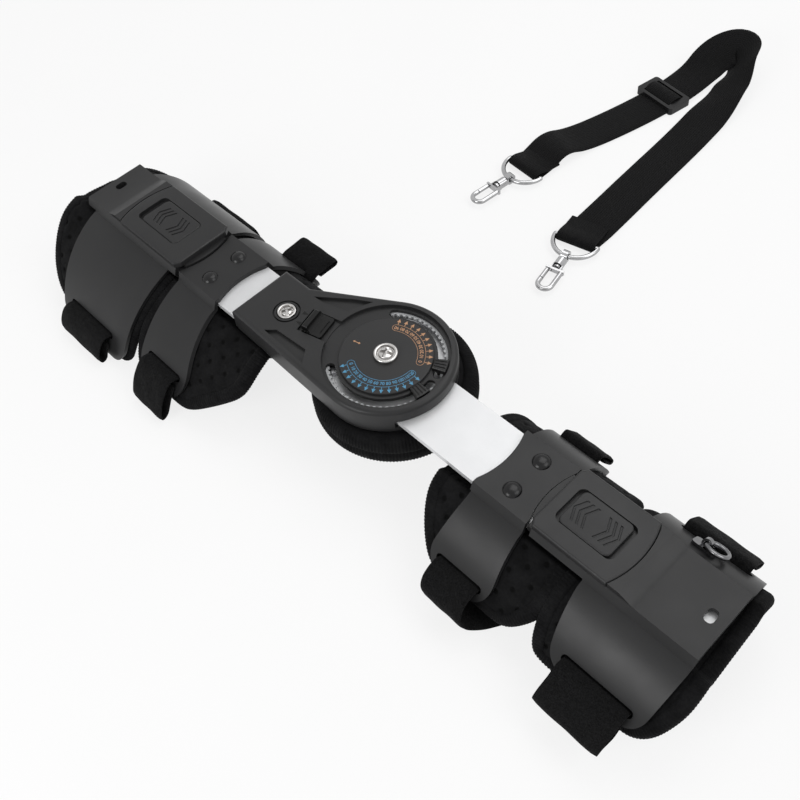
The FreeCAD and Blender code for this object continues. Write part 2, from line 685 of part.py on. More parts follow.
def webbing():
    """The whole strap flat on the floor: first leg, folded turn and second leg."""
    first_left = [(-95.0, 203.0), (-91.0, 245.0), (-76.0, 288.0), (-70.0, 318.0), (-63.5, 355.0),
                  (-59.5, 394.0)]
    turn = [(-54.5, 402.0), (-40.0, 404.0), (-25.5, 394.0), (-16.5, 376.0)]
    second_right = [(-6.5, 306.0), (-1.5, 228.0), (2.5, 173.0)]
    second_left = [(-26.0, 167.5), (-30.5, 211.0), (-34.0, 292.0), (-39.0, 366.0)]
    first_right = [(-42.5, 322.0), (-48.0, 282.0), (-62.0, 240.0), (-66.5, 200.0)]
    outline = first_left + turn + second_right + second_left + first_right
    body = prism(outline, -floor_depth, -floor_depth + webbing_thickness)
    for end in (strap_end_a, strap_end_b):
        half = strap_width / 2 - 1.7
        outer = ring_wire + webbing_thickness
        sleeve = Part.makeCylinder(outer, 2 * half, vec(0, -half, ring_height), vec(0, 1, 0))
        tail = block(-4.0, 0, -half, half, -floor_depth, -floor_depth + webbing_thickness)
        bore = Part.makeCylinder(ring_wire + 0.1, 60, vec(0, -30, ring_height), vec(0, 1, 0))
        body = body.cut(at_end(block(-1.0, 12, -30, 30, -floor_depth - 1, ring_height), end))
        body = body.fuse(at_end(sleeve.fuse(tail), end)).cut(at_end(bore, end))
    return body.removeSplitter()


def d_ring(end):
    """Round wire: straight bar in the sleeve and a half circle towards the hook."""
    bar = Part.makeCylinder(ring_wire, 2 * ring_half, vec(0, -ring_half, ring_height), vec(0, 1, 0))
    bow = Part.makeTorus(ring_half, ring_wire, vec(0, 0, ring_height), vec(0, 0, 1), -180, 180, 180)
    bow = turned(bow, -90)
    ring = bar.fuse(bow)
    for side in (-1, 1):
        ring = ring.fuse(Part.makeSphere(ring_wire, vec(0, side * ring_half, ring_height)))
    return at_end(ring, end)


def hook_eye(end):
    """Swivel eye round the bow of the D-ring, with the neck that the hook turns on."""
    outer = ring_wire + webbing_thickness
    eye = Part.makeCylinder(outer, 4.0, vec(ring_half, -2, ring_height), vec(0, 1, 0))
    neck = Part.makeCylinder(1.5, 8.0, vec(ring_half + outer - 0.5, 0, ring_height), vec(1, 0, 0))
    knob = Part.makeCylinder(2.4, 1.4, vec(ring_half + outer + 6.9, 0, ring_height), vec(1, 0, 0))
    bore = Part.makeCylinder(ring_wire + 0.45, 8.0, vec(ring_half, -4, ring_height), vec(0, 1, 0))
    return at_end(eye.fuse(neck).fuse(knob).cut(bore).removeSplitter(), end)


def hook_base():
    return ring_half + ring_wire + webbing_thickness + 0.4


def hook(end):
    """Hook turning on the eye's neck: barrel, crosspiece, back rod, bow and nose."""
    x0 = hook_base()
    x1 = x0 + 10.4
    barrel = Part.makeCylinder(3.3, 6.2, vec(x0, 0, ring_height), vec(1, 0, 0))
    low, high = ring_height - hook_wire, ring_height + hook_wire
    cross = block(x0 + 9.0, x1, -hook_half - hook_wire, hook_half + hook_wire, low, high)
    cheeks = block(x0 + 5.6, x0 + 9.2, -3.3, 3.3, low, high)
    room = block(x0 + 6.0, x0 + 9.0, -2.6, 2.6, ring_height - 5, ring_height + 5)
    rod = Part.makeCylinder(hook_wire, hook_length, vec(x1 - 0.5, hook_half, ring_height), vec(1, 0, 0))
    bow_at = vec(x1 - 0.5 + hook_length, 0, ring_height)
    bow = Part.makeTorus(hook_half, hook_wire, bow_at, vec(0, 0, 1), -180, 180, 180)
    nose = Part.makeCylinder(hook_wire, hook_length - gate_length - 1.2,
                             vec(x1 + gate_length + 0.7, -hook_half, ring_height), vec(1, 0, 0))
    bore = Part.makeCylinder(1.5 + running_gap, 8, vec(x0 - 1, 0, ring_height), vec(1, 0, 0))
    body = barrel.fuse(cheeks).fuse(cross).cut(room).cut(bore)
    body = body.fuse(rod).fuse(turned(bow, -90, bow_at)).fuse(nose)
    slot = block(x1 - 1.6, x1 + 1, -hook_half - 3, -hook_half + 3, low + 0.85, high - 0.85)
    return at_end(body.cut(slot).removeSplitter(), end)


def hook_gate(end):
    """Sprung gate from the crosspiece to the nose."""
    x1 = hook_base() + 10.4
    rod = Part.makeCylinder(1.5, gate_length - 0.7, vec(x1 + 0.8, -hook_half, ring_height), vec(1, 0, 0))
    low, high = ring_height - 0.65, ring_height + 0.65
    tongue = block(x1 - 1.0, x1 + 1.0, -hook_half - 0.9, -hook_half + 0.9, low, high)
    return at_end(rod.fuse(tongue).removeSplitter(), end)


def tri_glide():
    """Three-bar slider round the first leg."""
    half = strap_width / 2 + 0.6
    low = -floor_depth
    frame = rounded_block(-10.5, 10.5, -half - 5.4, half + 5.4, low, low + 6.0, 2.5)
    tunnel = block(-20, 20, -half - 0.6, half + 0.6, low - 1, low + webbing_thickness + 0.3)
    frame = frame.cut(tunnel)
    for x in (-5.2, 5.2):
        frame = frame.cut(rounded_block(x - 2.6, x + 2.6, -half, half, low - 1, low + 9, 1.0))
    x, y, deg = tri_glide_at
    return moved(turned(frame, deg), x, y)


def clip_base():
    """Foot with a barrel that the ring passes through."""
    foot = rounded_block(-6, 6, -4.0, 4.0, 0.05, 1.6, 2.0)
    barrel = Part.makeCylinder(clip_wire + 1.3, 3.0, vec(0, -1.5, clip_height), vec(0, 1, 0))
    bore = Part.makeCylinder(clip_wire + 0.35, 9.0, vec(0, -4.5, clip_height), vec(0, 1, 0))
    return foot.fuse(barrel).cut(bore).removeSplitter()


def clip_ring():
    return Part.makeTorus(clip_ring_radius, clip_wire, vec(clip_ring_radius, 0, clip_height), vec(0, 0, 1))


# ---- assembly ----

def section(sizes, place):
    """Both cuffs of one section, their liners, strap ends and locks."""
    made = {
        "inner_cuff": inner_cuff(sizes),
        "inner_rivets": rivets(sizes),
        "inner_pad": pad(sizes["inner_wings"], sizes["inner_pad"], plate_thickness),
        "outer_cuff": outer_cuff(sizes),
        "outer_pad": pad(sizes["outer_wings"], sizes["outer_pad"], end_top),
        "slide_cover": slide_cover(sizes),
        "slide_guide": slide_guide(sizes),
        "thumb_slider": thumb_slider(sizes),
        "lock_pin": lock_pin(sizes),
    }
    for cuff, top in (("inner", plate_thickness), ("outer", end_top)):
        for i, side in ((0, 1), (1, -1)):
            radius = sizes[cuff + "_wings"][i][0]
            edge = "far" if (side > 0) == (sizes["name"] == "calf") else "near"
            made[cuff + "_strap_" + edge] = strap_fold(radius, side, top, *sizes[cuff + "_straps"][i])
    for part, shape in made.items():
        nodes[sizes["name"] + "_" + part] = place(shape)


def build():
    nodes["hinge_front_cover"] = front_cover()
    nodes["hinge_back_plate"] = back_plate()
    nodes["hinge_back_cover"] = back_cover()
    nodes["dial_face"] = dial_face()
    nodes["stop_ring"] = stop_ring()
    nodes["flexion_stop"] = stop_slider(flexion_stop_deg)
    nodes["extension_stop"] = stop_slider(extension_stop_deg)
    nodes["pivot_nut"] = pivot_nut()
    nodes["pivot_screw"] = pivot_screw()
    nodes["neck_screw"] = neck_screw()
    nodes["neck_nut"] = neck_nut()
    nodes["hinge_cam"] = hinge_cam()
    nodes["quick_lock"] = quick_lock()
    nodes["lock_bolt"] = lock_bolt()
    nodes["condyle_pad"] = condyle_pad()
    nodes["calf_bar"] = calf_bar()
    nodes["thigh_bar"] = thigh_bar()
    section(calf_sizes, calf)
    section(thigh_sizes, thigh)
    nodes["strap_webbing"] = webbing()
    nodes["strap_tri_glide"] = tri_glide()
    for name, end in (("a", strap_end_a), ("b", strap_end_b)):
        nodes["strap_ring_" + name] = d_ring(end)
        nodes["strap_eye_" + name] = hook_eye(end)
        nodes["strap_hook_" + name] = hook(end)
        nodes["strap_gate_" + name] = hook_gate(end)
    radius = calf_sizes["outer_wings"][0][0]
    seat = on_arc(radius, arc_centre(radius, end_top), clip_deg, 1)
    for name, shape in (("clip_base", clip_base()), ("clip_ring", clip_ring())):
        shape.rotate(vec(0, 0, 0), vec(1, 0, 0), -clip_deg)
        nodes[name] = calf(moved(shape, clip_along, seat.y, seat.z))


def main():
    build()
    brace = Part.makeCompound([shape for name, shape in nodes.items() if not name.startswith("strap_")])
    box = brace.optimalBoundingBox(False, False)
    shift = vec(-(box.XMin + box.XMax) / 2, -(box.YMin + box.YMax) / 2, -box.ZMin)
    os.makedirs("parts", exist_ok=True)
    for name, shape in nodes.items():
        shape.translate(shift)
        shape.exportStep("parts/" + name + ".step")
    print("pivot in the final frame", round(shift.x, 3), round(shift.y, 3), round(shift.z, 3))
    print("nodes", len(nodes))


main()
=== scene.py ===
import bpy
import bmesh
import json
from math import acos, asin, cos, degrees, exp, hypot, pi, radians, sin, sqrt
from mathutils import Vector, Matrix


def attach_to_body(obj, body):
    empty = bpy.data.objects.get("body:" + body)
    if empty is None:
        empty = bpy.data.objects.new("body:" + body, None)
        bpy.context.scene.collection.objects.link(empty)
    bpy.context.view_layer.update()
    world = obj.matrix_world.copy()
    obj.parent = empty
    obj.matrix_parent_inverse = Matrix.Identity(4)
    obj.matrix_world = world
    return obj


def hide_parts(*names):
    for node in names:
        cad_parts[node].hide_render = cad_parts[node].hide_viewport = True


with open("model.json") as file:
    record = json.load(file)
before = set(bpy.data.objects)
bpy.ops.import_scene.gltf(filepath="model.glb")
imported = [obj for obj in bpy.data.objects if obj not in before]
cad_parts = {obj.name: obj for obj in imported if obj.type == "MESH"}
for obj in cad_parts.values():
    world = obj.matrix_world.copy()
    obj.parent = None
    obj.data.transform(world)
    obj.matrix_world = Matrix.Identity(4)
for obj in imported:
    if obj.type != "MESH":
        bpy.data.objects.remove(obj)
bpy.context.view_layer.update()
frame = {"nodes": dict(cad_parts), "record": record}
nodes = frame["nodes"]
behaviour = frame["record"]["behaviour"]
bodies = behaviour["bodies"]
pivot = Vector(next(j["pos_m"] for j in behaviour["joints"] if j["name"] == "knee_hinge"))
mm = 0.001
floorZ = -52.5                           # the surface that everything lies on, below the pivot
thighMiddle, calfMiddle = -15.0, -3.2    # y of the middle line of each section
neckDeg = 194.0                          # direction of the hinge's neck, round the pivot


def at(x, y, z=0.0):
    return pivot + Vector((x, y, z)) * mm


def calfAt(x, y, z):
    return at(x, calfMiddle + y, z)


def thighAt(x, y, z):
    return at(-x, thighMiddle - y, z)    # the thigh section is turned half way round


def turned(x, y, deg):
    a = radians(deg)
    return x * cos(a) - y * sin(a), x * sin(a) + y * cos(a)


def ringAt(radius, deg):
    return turned(radius, 0, deg)


def ease(share):
    return share * share * (3 - 2 * share)


# noise scale per metre and detail, for each part of a finish
grains = {"plasticCloud": (26, 4), "plasticSmear": (55, 5), "plasticWave": (60, 1), "metalCloud": (90, 4),
          "foamCloud": (120, 5), "knit": (2600, 2), "foamFuzz": (700, 3), "weaveFuzz": (1500, 3),
          "pile": (1700, 5), "tuft": (420, 4), "ink": (900, 2), "paper": (8, 2)}
# strength and height in metres
reliefs = {"plasticGrain": (0.35, 0.00004), "plasticWave": (0.12, 0.00015), "metal": (0.3, 0.00002),
           "foam": (0.55, 0.00025), "weave": (0.7, 0.00025), "pile": (0.9, 0.0006)}
clothSpecular = 0.08


def nodeSetup(name):
    material = bpy.data.materials.new(name)
    material.use_nodes = True
    tree = material.node_tree
    shader = tree.nodes["Principled BSDF"]
    coords = tree.nodes.new("ShaderNodeTexCoord")
    return material, tree, shader, coords.outputs["Object"], coords.outputs["UV"]


def addNoise(tree, source, scale, detail=3.0, stretch=(1, 1, 1)):
    mapping = tree.nodes.new("ShaderNodeMapping")
    mapping.inputs["Scale"].default_value = stretch
    tree.links.new(source, mapping.inputs["Vector"])
    noise = tree.nodes.new("ShaderNodeTexNoise")
    noise.inputs["Scale"].default_value = scale
    noise.inputs["Detail"].default_value = detail
    tree.links.new(mapping.outputs["Vector"], noise.inputs["Vector"])
    return noise.outputs["Fac"]


def addRamp(tree, source, stops):
    ramp = tree.nodes.new("ShaderNodeValToRGB")
    while len(ramp.color_ramp.elements) < len(stops):
        ramp.color_ramp.elements.new(0.5)
    for element, (place, colour) in zip(ramp.color_ramp.elements, stops):
        element.position = place
        element.color = (*colourOf(colour), 1)
    tree.links.new(source, ramp.inputs["Fac"])
    return ramp.outputs["Color"]


def addMath(tree, operation, a, b=None, c=None):
    node = tree.nodes.new("ShaderNodeMath")
    node.operation = operation
    for socket, value in zip(node.inputs, (a, b, c)):
        if value is None:
            continue
        if isinstance(value, (int, float)):
            socket.default_value = value
        else:
            tree.links.new(value, socket)
    return node.outputs["Value"]


def addBump(tree, shader, height, strength, distance, after=None):
    bump = tree.nodes.new("ShaderNodeBump")
    bump.inputs["Strength"].default_value = strength
    bump.inputs["Distance"].default_value = distance
    tree.links.new(height, bump.inputs["Height"])
    if after is not None:
        tree.links.new(after, bump.inputs["Normal"])
    tree.links.new(bump.outputs["Normal"], shader.inputs["Normal"])
    return bump.outputs["Normal"]


# one number is a grey, two are a grey with its own blue, three are a colour
def colourOf(value):
    parts = value if isinstance(value, tuple) else (value, value)
    return (parts[0], parts[-2], parts[-1])


def rampInto(tree, shader, socket, source, ends, stops=(0.3, 0.7)):
    tree.links.new(addRamp(tree, source, list(zip(stops, ends))), shader.inputs[socket])


def setInputs(shader, values):
    for socket, value in values.items():
        shader.inputs[socket].default_value = value


def clothSheen(shader, weight, rough):
    setInputs(shader, {"Sheen Weight": weight, "Sheen Roughness": rough, "Specular IOR Level": clothSpecular})


def splitAxes(tree, source):
    split = tree.nodes.new("ShaderNodeSeparateXYZ")
    tree.links.new(source, split.inputs["Vector"])
    return split.outputs


def mouldedPlastic(name, dark, light, rough, grain=1400.0, coat=0.0):
    material, tree, shader, place, uv = nodeSetup(name)
    cloud = addNoise(tree, place, *grains["plasticCloud"])
    rampInto(tree, shader, "Base Color", cloud, (dark, light), (0.3, 0.72))
    rampInto(tree, shader, "Roughness", addNoise(tree, place, *grains["plasticSmear"]), rough)
    fine = addBump(tree, shader, addNoise(tree, place, grain, 2.0), *reliefs["plasticGrain"])
    wave = addNoise(tree, place, *grains["plasticWave"])
    addBump(tree, shader, wave, *reliefs["plasticWave"], fine)
    setInputs(shader, {"Specular IOR Level": 0.24, "Coat Weight": coat, "Coat Roughness": 0.2})
    return material


def polishedMetal(name, dark, light, rough, brushed=(1, 1, 1), scale=400.0, metallic=1.0):
    material, tree, shader, place, uv = nodeSetup(name)
    rampInto(tree, shader, "Base Color", addNoise(tree, place, *grains["metalCloud"]), (dark, light))
    lines = addNoise(tree, place, scale, 4.0, brushed)
    rampInto(tree, shader, "Roughness", lines, rough, (0.25, 0.75))
    addBump(tree, shader, lines, *reliefs["metal"])
    setInputs(shader, {"Metallic": metallic})
    return material


# painted shade in round holes in two crossed rows
def punchHoles(tree, uv, cloth, holes):
    axes, pitch, rows = splitAxes(tree, uv), holes["pitch"], []
    for shift in (0.0, 0.5):
        parts = []
        for axis in ("X", "Y"):
            cell = addMath(tree, "MULTIPLY_ADD", axes[axis], 1.0 / pitch, shift + 0.5)
            part = addMath(tree, "SUBTRACT", addMath(tree, "FRACT", cell), 0.5)
            part = addMath(tree, "MULTIPLY", part, pitch)
            parts.append(addMath(tree, "MULTIPLY", part, part))
        rows.append(addMath(tree, "SQRT", addMath(tree, "ADD", *parts)))
    away = addMath(tree, "DIVIDE", addMath(tree, "MINIMUM", *rows), holes["radius"] * 2)
    mix = tree.nodes.new("ShaderNodeMix")
    mix.data_type = "RGBA"
    tree.links.new(addRamp(tree, away, tuple(zip(holes["edge"], (0, 1)))), mix.inputs["Factor"])
    # the painted shade inside each hole
    mix.inputs["A"].default_value = (*colourOf(holes["dark"]), 1)
    tree.links.new(cloth, mix.inputs["B"])
    return mix.outputs["Result"]


def knitFoam(name, holes):
    material, tree, shader, place, uv = nodeSetup(name)
    cloud = addNoise(tree, place, *grains["foamCloud"])
    cloth = addRamp(tree, cloud, ((0.3, (0.003, 0.0033)), (0.75, (0.009, 0.0095))))
    knit = addNoise(tree, place, *grains["knit"])
    fuzz = addNoise(tree, place, *grains["foamFuzz"])
    if holes:
        cloth = punchHoles(tree, uv, cloth, holes)
    tree.links.new(cloth, shader.inputs["Base Color"])
    rampInto(tree, shader, "Roughness", fuzz, (0.72, 0.95))
    addBump(tree, shader, addMath(tree, "MULTIPLY_ADD", fuzz, 0.6, knit), *reliefs["foam"])
    clothSheen(shader, 0.015, 0.5)
    return material


def wovenBand(name, weave):
    material, tree, shader, place, uv = nodeSetup(name)
    axes = splitAxes(tree, uv)
    across = addMath(tree, "MULTIPLY", axes["X"], 2 * pi / weave["ribPitch"])
    along = addMath(tree, "MULTIPLY", axes["Y"], 2 * pi / weave["pickPitch"])
    ribs = addMath(tree, "SINE", across)
    picks = addMath(tree, "SINE", addMath(tree, "MULTIPLY_ADD", ribs, weave["twist"], along))
    height = addMath(tree, "MULTIPLY_ADD", picks, 0.5, addMath(tree, "MULTIPLY", ribs, 0.5))
    fuzz = addNoise(tree, place, *grains["weaveFuzz"])
    height = addMath(tree, "ADD", height, fuzz)
    # the colour follows the weave's height: painted shade in the grooves between threads, lighter on the raised
    # threads, with random fuzz in the tone
    level = addMath(tree, "MULTIPLY_ADD", height, 0.25, 0.35)
    rampInto(tree, shader, "Base Color", level, (weave["dark"], weave["light"]), (0.1, 0.8))
    rampInto(tree, shader, "Roughness", fuzz, (0.6, 0.85))
    addBump(tree, shader, height, *reliefs["weave"])
    clothSheen(shader, 0.015, 0.4)
    return material


def loopPile(name):
    material, tree, shader, place, uv = nodeSetup(name)
    pile = addNoise(tree, place, *grains["pile"])
    tuft = addNoise(tree, place, *grains["tuft"])
    ends = ((0.002, 0.0021), (0.012, 0.0125))
    rampInto(tree, shader, "Base Color", pile, ends, (0.35, 0.7))
    rampInto(tree, shader, "Roughness", tuft, (0.8, 1.0))
    addBump(tree, shader, addMath(tree, "MULTIPLY_ADD", tuft, 0.8, pile), *reliefs["pile"])
    clothSheen(shader, 0.02, 0.5)
    return material


def printInk(name, colour):
    material, tree, shader, place, uv = nodeSetup(name)
    patch = addNoise(tree, place, *grains["ink"])
    worn = tuple(c * 0.8 for c in colour)
    rampInto(tree, shader, "Base Color", patch, (worn, colour), (0.3, 0.6))
    rampInto(tree, shader, "Roughness", patch, (0.45, 0.6))
    return material


# dark is the painted shade inside the holes of the lining, fading in over edge
holePattern = {"pitch": 13.0, "radius": 1.45, "edge": (0.38, 0.56), "dark": 0.0012}
finish = {
    "shell": mouldedPlastic("shellPlastic", (0.015, 0.0155), (0.02, 0.0205), (0.3, 0.4)),
    "cover": mouldedPlastic("coverPlastic", (0.018, 0.0185), (0.024, 0.0245), (0.32, 0.42)),
    "slider": mouldedPlastic("sliderPlastic", (0.017, 0.0175), (0.023, 0.0235), (0.34, 0.44)),
    "dial": mouldedPlastic("dialPlastic", (0.022, 0.0225), (0.028, 0.0285), (0.38, 0.46), 1800.0),
    "lock": mouldedPlastic("lockPlastic", (0.003, 0.003), (0.005, 0.005), (0.2, 0.3)),
    "stop": mouldedPlastic("stopPlastic", (0.005, 0.005), (0.009, 0.009), (0.2, 0.3), coat=0.12),
    "ring": mouldedPlastic("ringPlastic", (0.5, 0.51, 0.52), (0.62, 0.63, 0.64), (0.35, 0.5)),
    "glide": mouldedPlastic("glidePlastic", (0.006, 0.0065), (0.012, 0.0125), (0.28, 0.4)),
    "bar": polishedMetal("barAluminium", (0.63, 0.634, 0.642), (0.66, 0.664, 0.672), (0.4, 0.44),
                         (0.06, 1, 1), 900.0, metallic=0.4),
    "screw": polishedMetal("screwSteel", (0.46, 0.45, 0.44), (0.52, 0.51, 0.5), (0.14, 0.2)),
    "plate": polishedMetal("plateSteel", (0.4, 0.42), (0.52, 0.54), (0.3, 0.45), (0.1, 1, 1)),
    "rivet": mouldedPlastic("rivetBlack", (0.003, 0.0033), (0.006, 0.0065), (0.2, 0.28), coat=0.1),
    "chrome": polishedMetal("ringChrome", (0.34, 0.345), (0.46, 0.465), (0.08, 0.18)),
    "darkChrome": polishedMetal("clipChrome", (0.12, 0.125), (0.22, 0.225), (0.12, 0.24)),
    "foam": knitFoam("foamLiner", holePattern),
    "binding": knitFoam("foamBinding", None),
    "strap": loopPile("strapPile"),
    # dark and light of the weave: the painted shade in its grooves and its lighter raised threads
    "webbing": wovenBand("webbingWeave", {"ribPitch": 1.5, "pickPitch": 0.9, "twist": 1.4,
                                          "dark": (0.002, 0.0021), "light": (0.009, 0.0093)}),
    "inkBlue": printInk("scaleBlue", (0.08, 0.3, 0.5)),
    "inkBronze": printInk("scaleBronze", (0.55, 0.3, 0.16)),
}

strapHardware = tuple("strap_%s_%s" % (part, end) for part in ("ring", "eye", "hook", "gate") for end in "ab")
nodeFinish = {
    # endings of the names of the nodes
    "shell": ("_cuff",),
    "cover": ("hinge_front_cover", "hinge_back_cover", "_slide_cover", "_slide_guide"),
    "slider": ("_thumb_slider",),
    "dial": ("dial_face",),
    "lock": ("quick_lock",),
    "stop": ("flexion_stop", "extension_stop"),
    "ring": ("stop_ring",),
    "glide": ("strap_tri_glide",),
    "bar": ("thigh_bar", "calf_bar"),
    "screw": ("pivot_screw", "neck_screw", "pivot_nut", "neck_nut", "_lock_pin"),
    "plate": ("hinge_cam", "hinge_back_plate", "lock_bolt"),
    "rivet": ("_rivets",),
    "chrome": strapHardware,
    "darkChrome": ("clip_base", "clip_ring"),
    "foam": ("_pad",),
    "strap": ("_strap_near", "_strap_far"),
    "webbing": ("strap_webbing",),
}
for key, endings in nodeFinish.items():
    for name, node in nodes.items():
        if name.endswith(endings):
            node.data.materials.clear()
            node.data.materials.append(finish[key])
print("finishes made:", len(finish))


def addObject(name, data):
    thing = bpy.data.objects.new(name, data)
    bpy.context.scene.collection.objects.link(thing)
    return thing


def makePiece(name, points, faces, finishName, uv=None, smooth=True, sharp=None):
    mesh = bpy.data.meshes.new(name)
    mesh.from_pydata([tuple(p) for p in points], [], faces)
    if uv:
        layer = mesh.uv_layers.new(name="UVMap")
        for loop in mesh.loops:
            layer.data[loop.index].uv = uv[loop.vertex_index]
    work = bmesh.new()
    work.from_mesh(mesh)
    bmesh.ops.recalc_face_normals(work, faces=work.faces)
    work.to_mesh(mesh)
    work.free()
    for face in mesh.polygons:
        face.use_smooth = smooth
    if sharp:
        mesh.set_sharp_from_angle(angle=radians(sharp))
    mesh.materials.append(finish[finishName])
    return addObject(name, mesh)


def bodyOf(node):
    return next(name for name, members in bodies.items() if node in members)


def attach(piece, body, node=None):
    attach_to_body(piece, body)
    if node:
        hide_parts(node)
    return piece


def loftFaces(rings, size, closedRings):
    faces = []
    last = rings if closedRings else rings - 1
    for i in range(last):
        j = (i + 1) % rings
        for k in range(size):
            m = (k + 1) % size
            faces.append((i * size + k, i * size + m, j * size + m, j * size + k))
    if not closedRings:
        faces.append(tuple(range(size))[::-1])
        faces.append(tuple((rings - 1) * size + k for k in range(size)))
    return faces


# sides and both ends of a profile of that size, turned round an axis
def turnedFaces(around, size, start=0):
    faces = []
    for i in range(around):
        a, b = start + i * size, start + (i + 1) % around * size
        faces += [(a + k, b + k, b + k + 1, a + k + 1) for k in range(size - 1)]
    faces.append(tuple(start + i * size for i in range(around))[::-1])
    faces.append(tuple(start + i * size + size - 1 for i in range(around)))
    return faces


def bandRing(across):
    return [(k, -1 + 2 * k / across, s) for s in (1, -1) for k in range(across + 1)[::s]]


def alongPath(path, i):
    return path[min(i + 1, len(path) - 1)] - path[max(i - 1, 0)]


def catmull(points, step):
    dense = []
    last = len(points) - 1
    for i in range(last):
        p0, p1, p2, p3 = (Vector(points[max(0, min(last, i + k))]) for k in (-1, 0, 1, 2))
        count = max(2, int((p2 - p1).length / step))
        for n in range(count):
            t = n / count
            dense.append(0.5 * (2 * p1 + (p2 - p0) * t + (2 * p0 - 5 * p1 + 4 * p2 - p3) * t * t
                                + (3 * p1 - p0 - 3 * p2 + p3) * t * t * t))
    dense.append(Vector(points[-1]))
    return dense


# degrees round the pivot and above the floor, metres from the pivot, lens in mm
cameraSet = {"azimuth": 52.84, "elevation": 51.94, "roll": -8.7, "distance": 0.51453, "lens": 45.0,
             "shiftX": 12.58 / 800, "shiftY": -35.49 / 800}


def makeCamera(values):
    a, e, r = (radians(values[k]) for k in ("azimuth", "elevation", "roll"))
    back = Vector((sin(a) * cos(e), -cos(a) * cos(e), sin(e)))
    right = Vector((cos(a), sin(a), 0))
    up = back.cross(right)
    rolledRight = right * cos(r) + up * sin(r)
    rolledUp = up * cos(r) - right * sin(r)
    data = bpy.data.cameras.new("camera")
    data.lens, data.sensor_width = values["lens"], 36.0
    data.shift_x, data.shift_y = values["shiftX"], values["shiftY"]
    data.clip_start, data.clip_end = 0.02, 20.0
    camera = addObject("camera", data)
    axes = Matrix((rolledRight, rolledUp, back)).transposed().to_4x4()
    camera.matrix_world = Matrix.Translation(pivot + back * values["distance"]) @ axes
    bpy.context.scene.camera = camera


makeCamera(cameraSet)
print("camera placed")

# route in x, y and height above the floor, tilt in degrees against the share of the length
shoulderStrap = {
    "route": ((-80.4, 200, 1.6), (-80.5, 212, 1.4), (-79, 228, 8.5), (-74.5, 246, 1.2), (-64, 282, 1.2),
              (-55.5, 320, 1.8), (-51.5, 350, 4.8), (-50.5, 370, 12.2), (-40, 384, 17.0), (-29, 371, 12.2),
              (-22.5, 338, 4.2), (-19, 296, 1.2), (-16, 236, 1.2), (-13.6, 200, 1.3), (-12, 169.5, 1.6)),
    "tilt": ((0.0, 0), (0.37, 0), (0.45, 25), (0.505, 50), (0.56, 25), (0.65, 0), (1.0, 0)),
    "neck": 0.94, "neckLength": 0.05,      # narrower at both ends, over this share of the length
    "width": 27.0, "thickness": 1.9, "step": 1.2, "across": 16, "camber": 0.35,
}


def routeLine(route):
    curve = bpy.data.curves.new("strapRoute", "CURVE")
    curve.dimensions = "3D"
    spline = curve.splines.new("NURBS")
    spline.points.add(len(route) - 1)
    for point, (x, y, lift) in zip(spline.points, route):
        point.co = (*at(x, y, floorZ + lift), 1)
    spline.order_u = 3
    spline.use_endpoint_u = True
    spline.resolution_u = 24
    holder = addObject("strapRoute", curve)
    mesh = bpy.data.meshes.new_from_object(holder)
    line = [v.co.copy() for v in mesh.vertices]
    bpy.data.objects.remove(holder)
    bpy.data.curves.remove(curve)
    bpy.data.meshes.remove(mesh)
    return line


def evenLine(line, step):
    spans = [(b - a).length for a, b in zip(line, line[1:])]
    total = sum(spans)
    count = int(total / step)
    even, travelled, k = [line[0]], 0.0, 0
    for n in range(1, count):
        want = total * n / count
        while travelled + spans[k] < want:
            travelled += spans[k]
            k += 1
        even.append(line[k].lerp(line[k + 1], (want - travelled) / spans[k]))
    return even + [line[-1]], total


def between(table, share):
    for (s0, v0), (s1, v1) in zip(table, table[1:]):
        if share <= s1:
            return v0 + (v1 - v0) * ease((share - s0) / (s1 - s0))
    return table[-1][1]


def makeWebbing(values):
    line, total = evenLine(routeLine(values["route"]), values["step"] * mm)
    thick, across = values["thickness"], values["across"]
    points, uv = [], []
    for i, p in enumerate(line):
        ahead = alongPath(line, i).normalized()
        share = i / (len(line) - 1)
        side = Vector((-ahead.y, ahead.x, 0)).normalized()      # outer edge of the bend
        up = ahead.cross(side) * -1
        if up.z < 0:
            up = -up
        tilt = radians(between(values["tilt"], share))
        end = min(1.0, min(share, 1 - share) / values["neckLength"])
        half = values["width"] / 2 * (values["neck"] + (1 - values["neck"]) * ease(end))
        wide = side * cos(tilt) + up * sin(tilt)
        flat = up * cos(tilt) - side * sin(tilt)
        for k, w, s in bandRing(across):
            edge = sqrt(max(0.0, 1 - (abs(w) ** 8)))
            h = s * thick / 2 * (0.35 + 0.65 * edge) + values["camber"] * (1 - w * w) * 0.5
            points.append(p + wide * (w * half * mm) + flat * (h * mm))
            uv.append((w * half, i * values["step"]))
    faces = loftFaces(len(line), 2 * (across + 1), False)
    return makePiece("shoulderWebbing", points, faces, "webbing", uv, sharp=50), line, total


webbing, webbingLine, webbingLength = makeWebbing(shoulderStrap)
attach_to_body(webbing, "shoulder_strap")
print("webbing length", round(webbingLength, 4))

# sewn sleeve round the bar of each D-ring; ends in x, y and degrees
sleeveSet = {"ends": ((-80.5, 200.0, -96.0), (-12.0, 169.5, -78.0)), "barHeight": 3.8, "outer": 3.5,
             "inner": 1.62, "half": 12.8, "tail": 19.0, "thickness": 1.6}


def endAt(end, x, y, z):
    dx, dy = turned(x, y, end[2])
    return at(end[0] + dx, end[1] + dy, z)


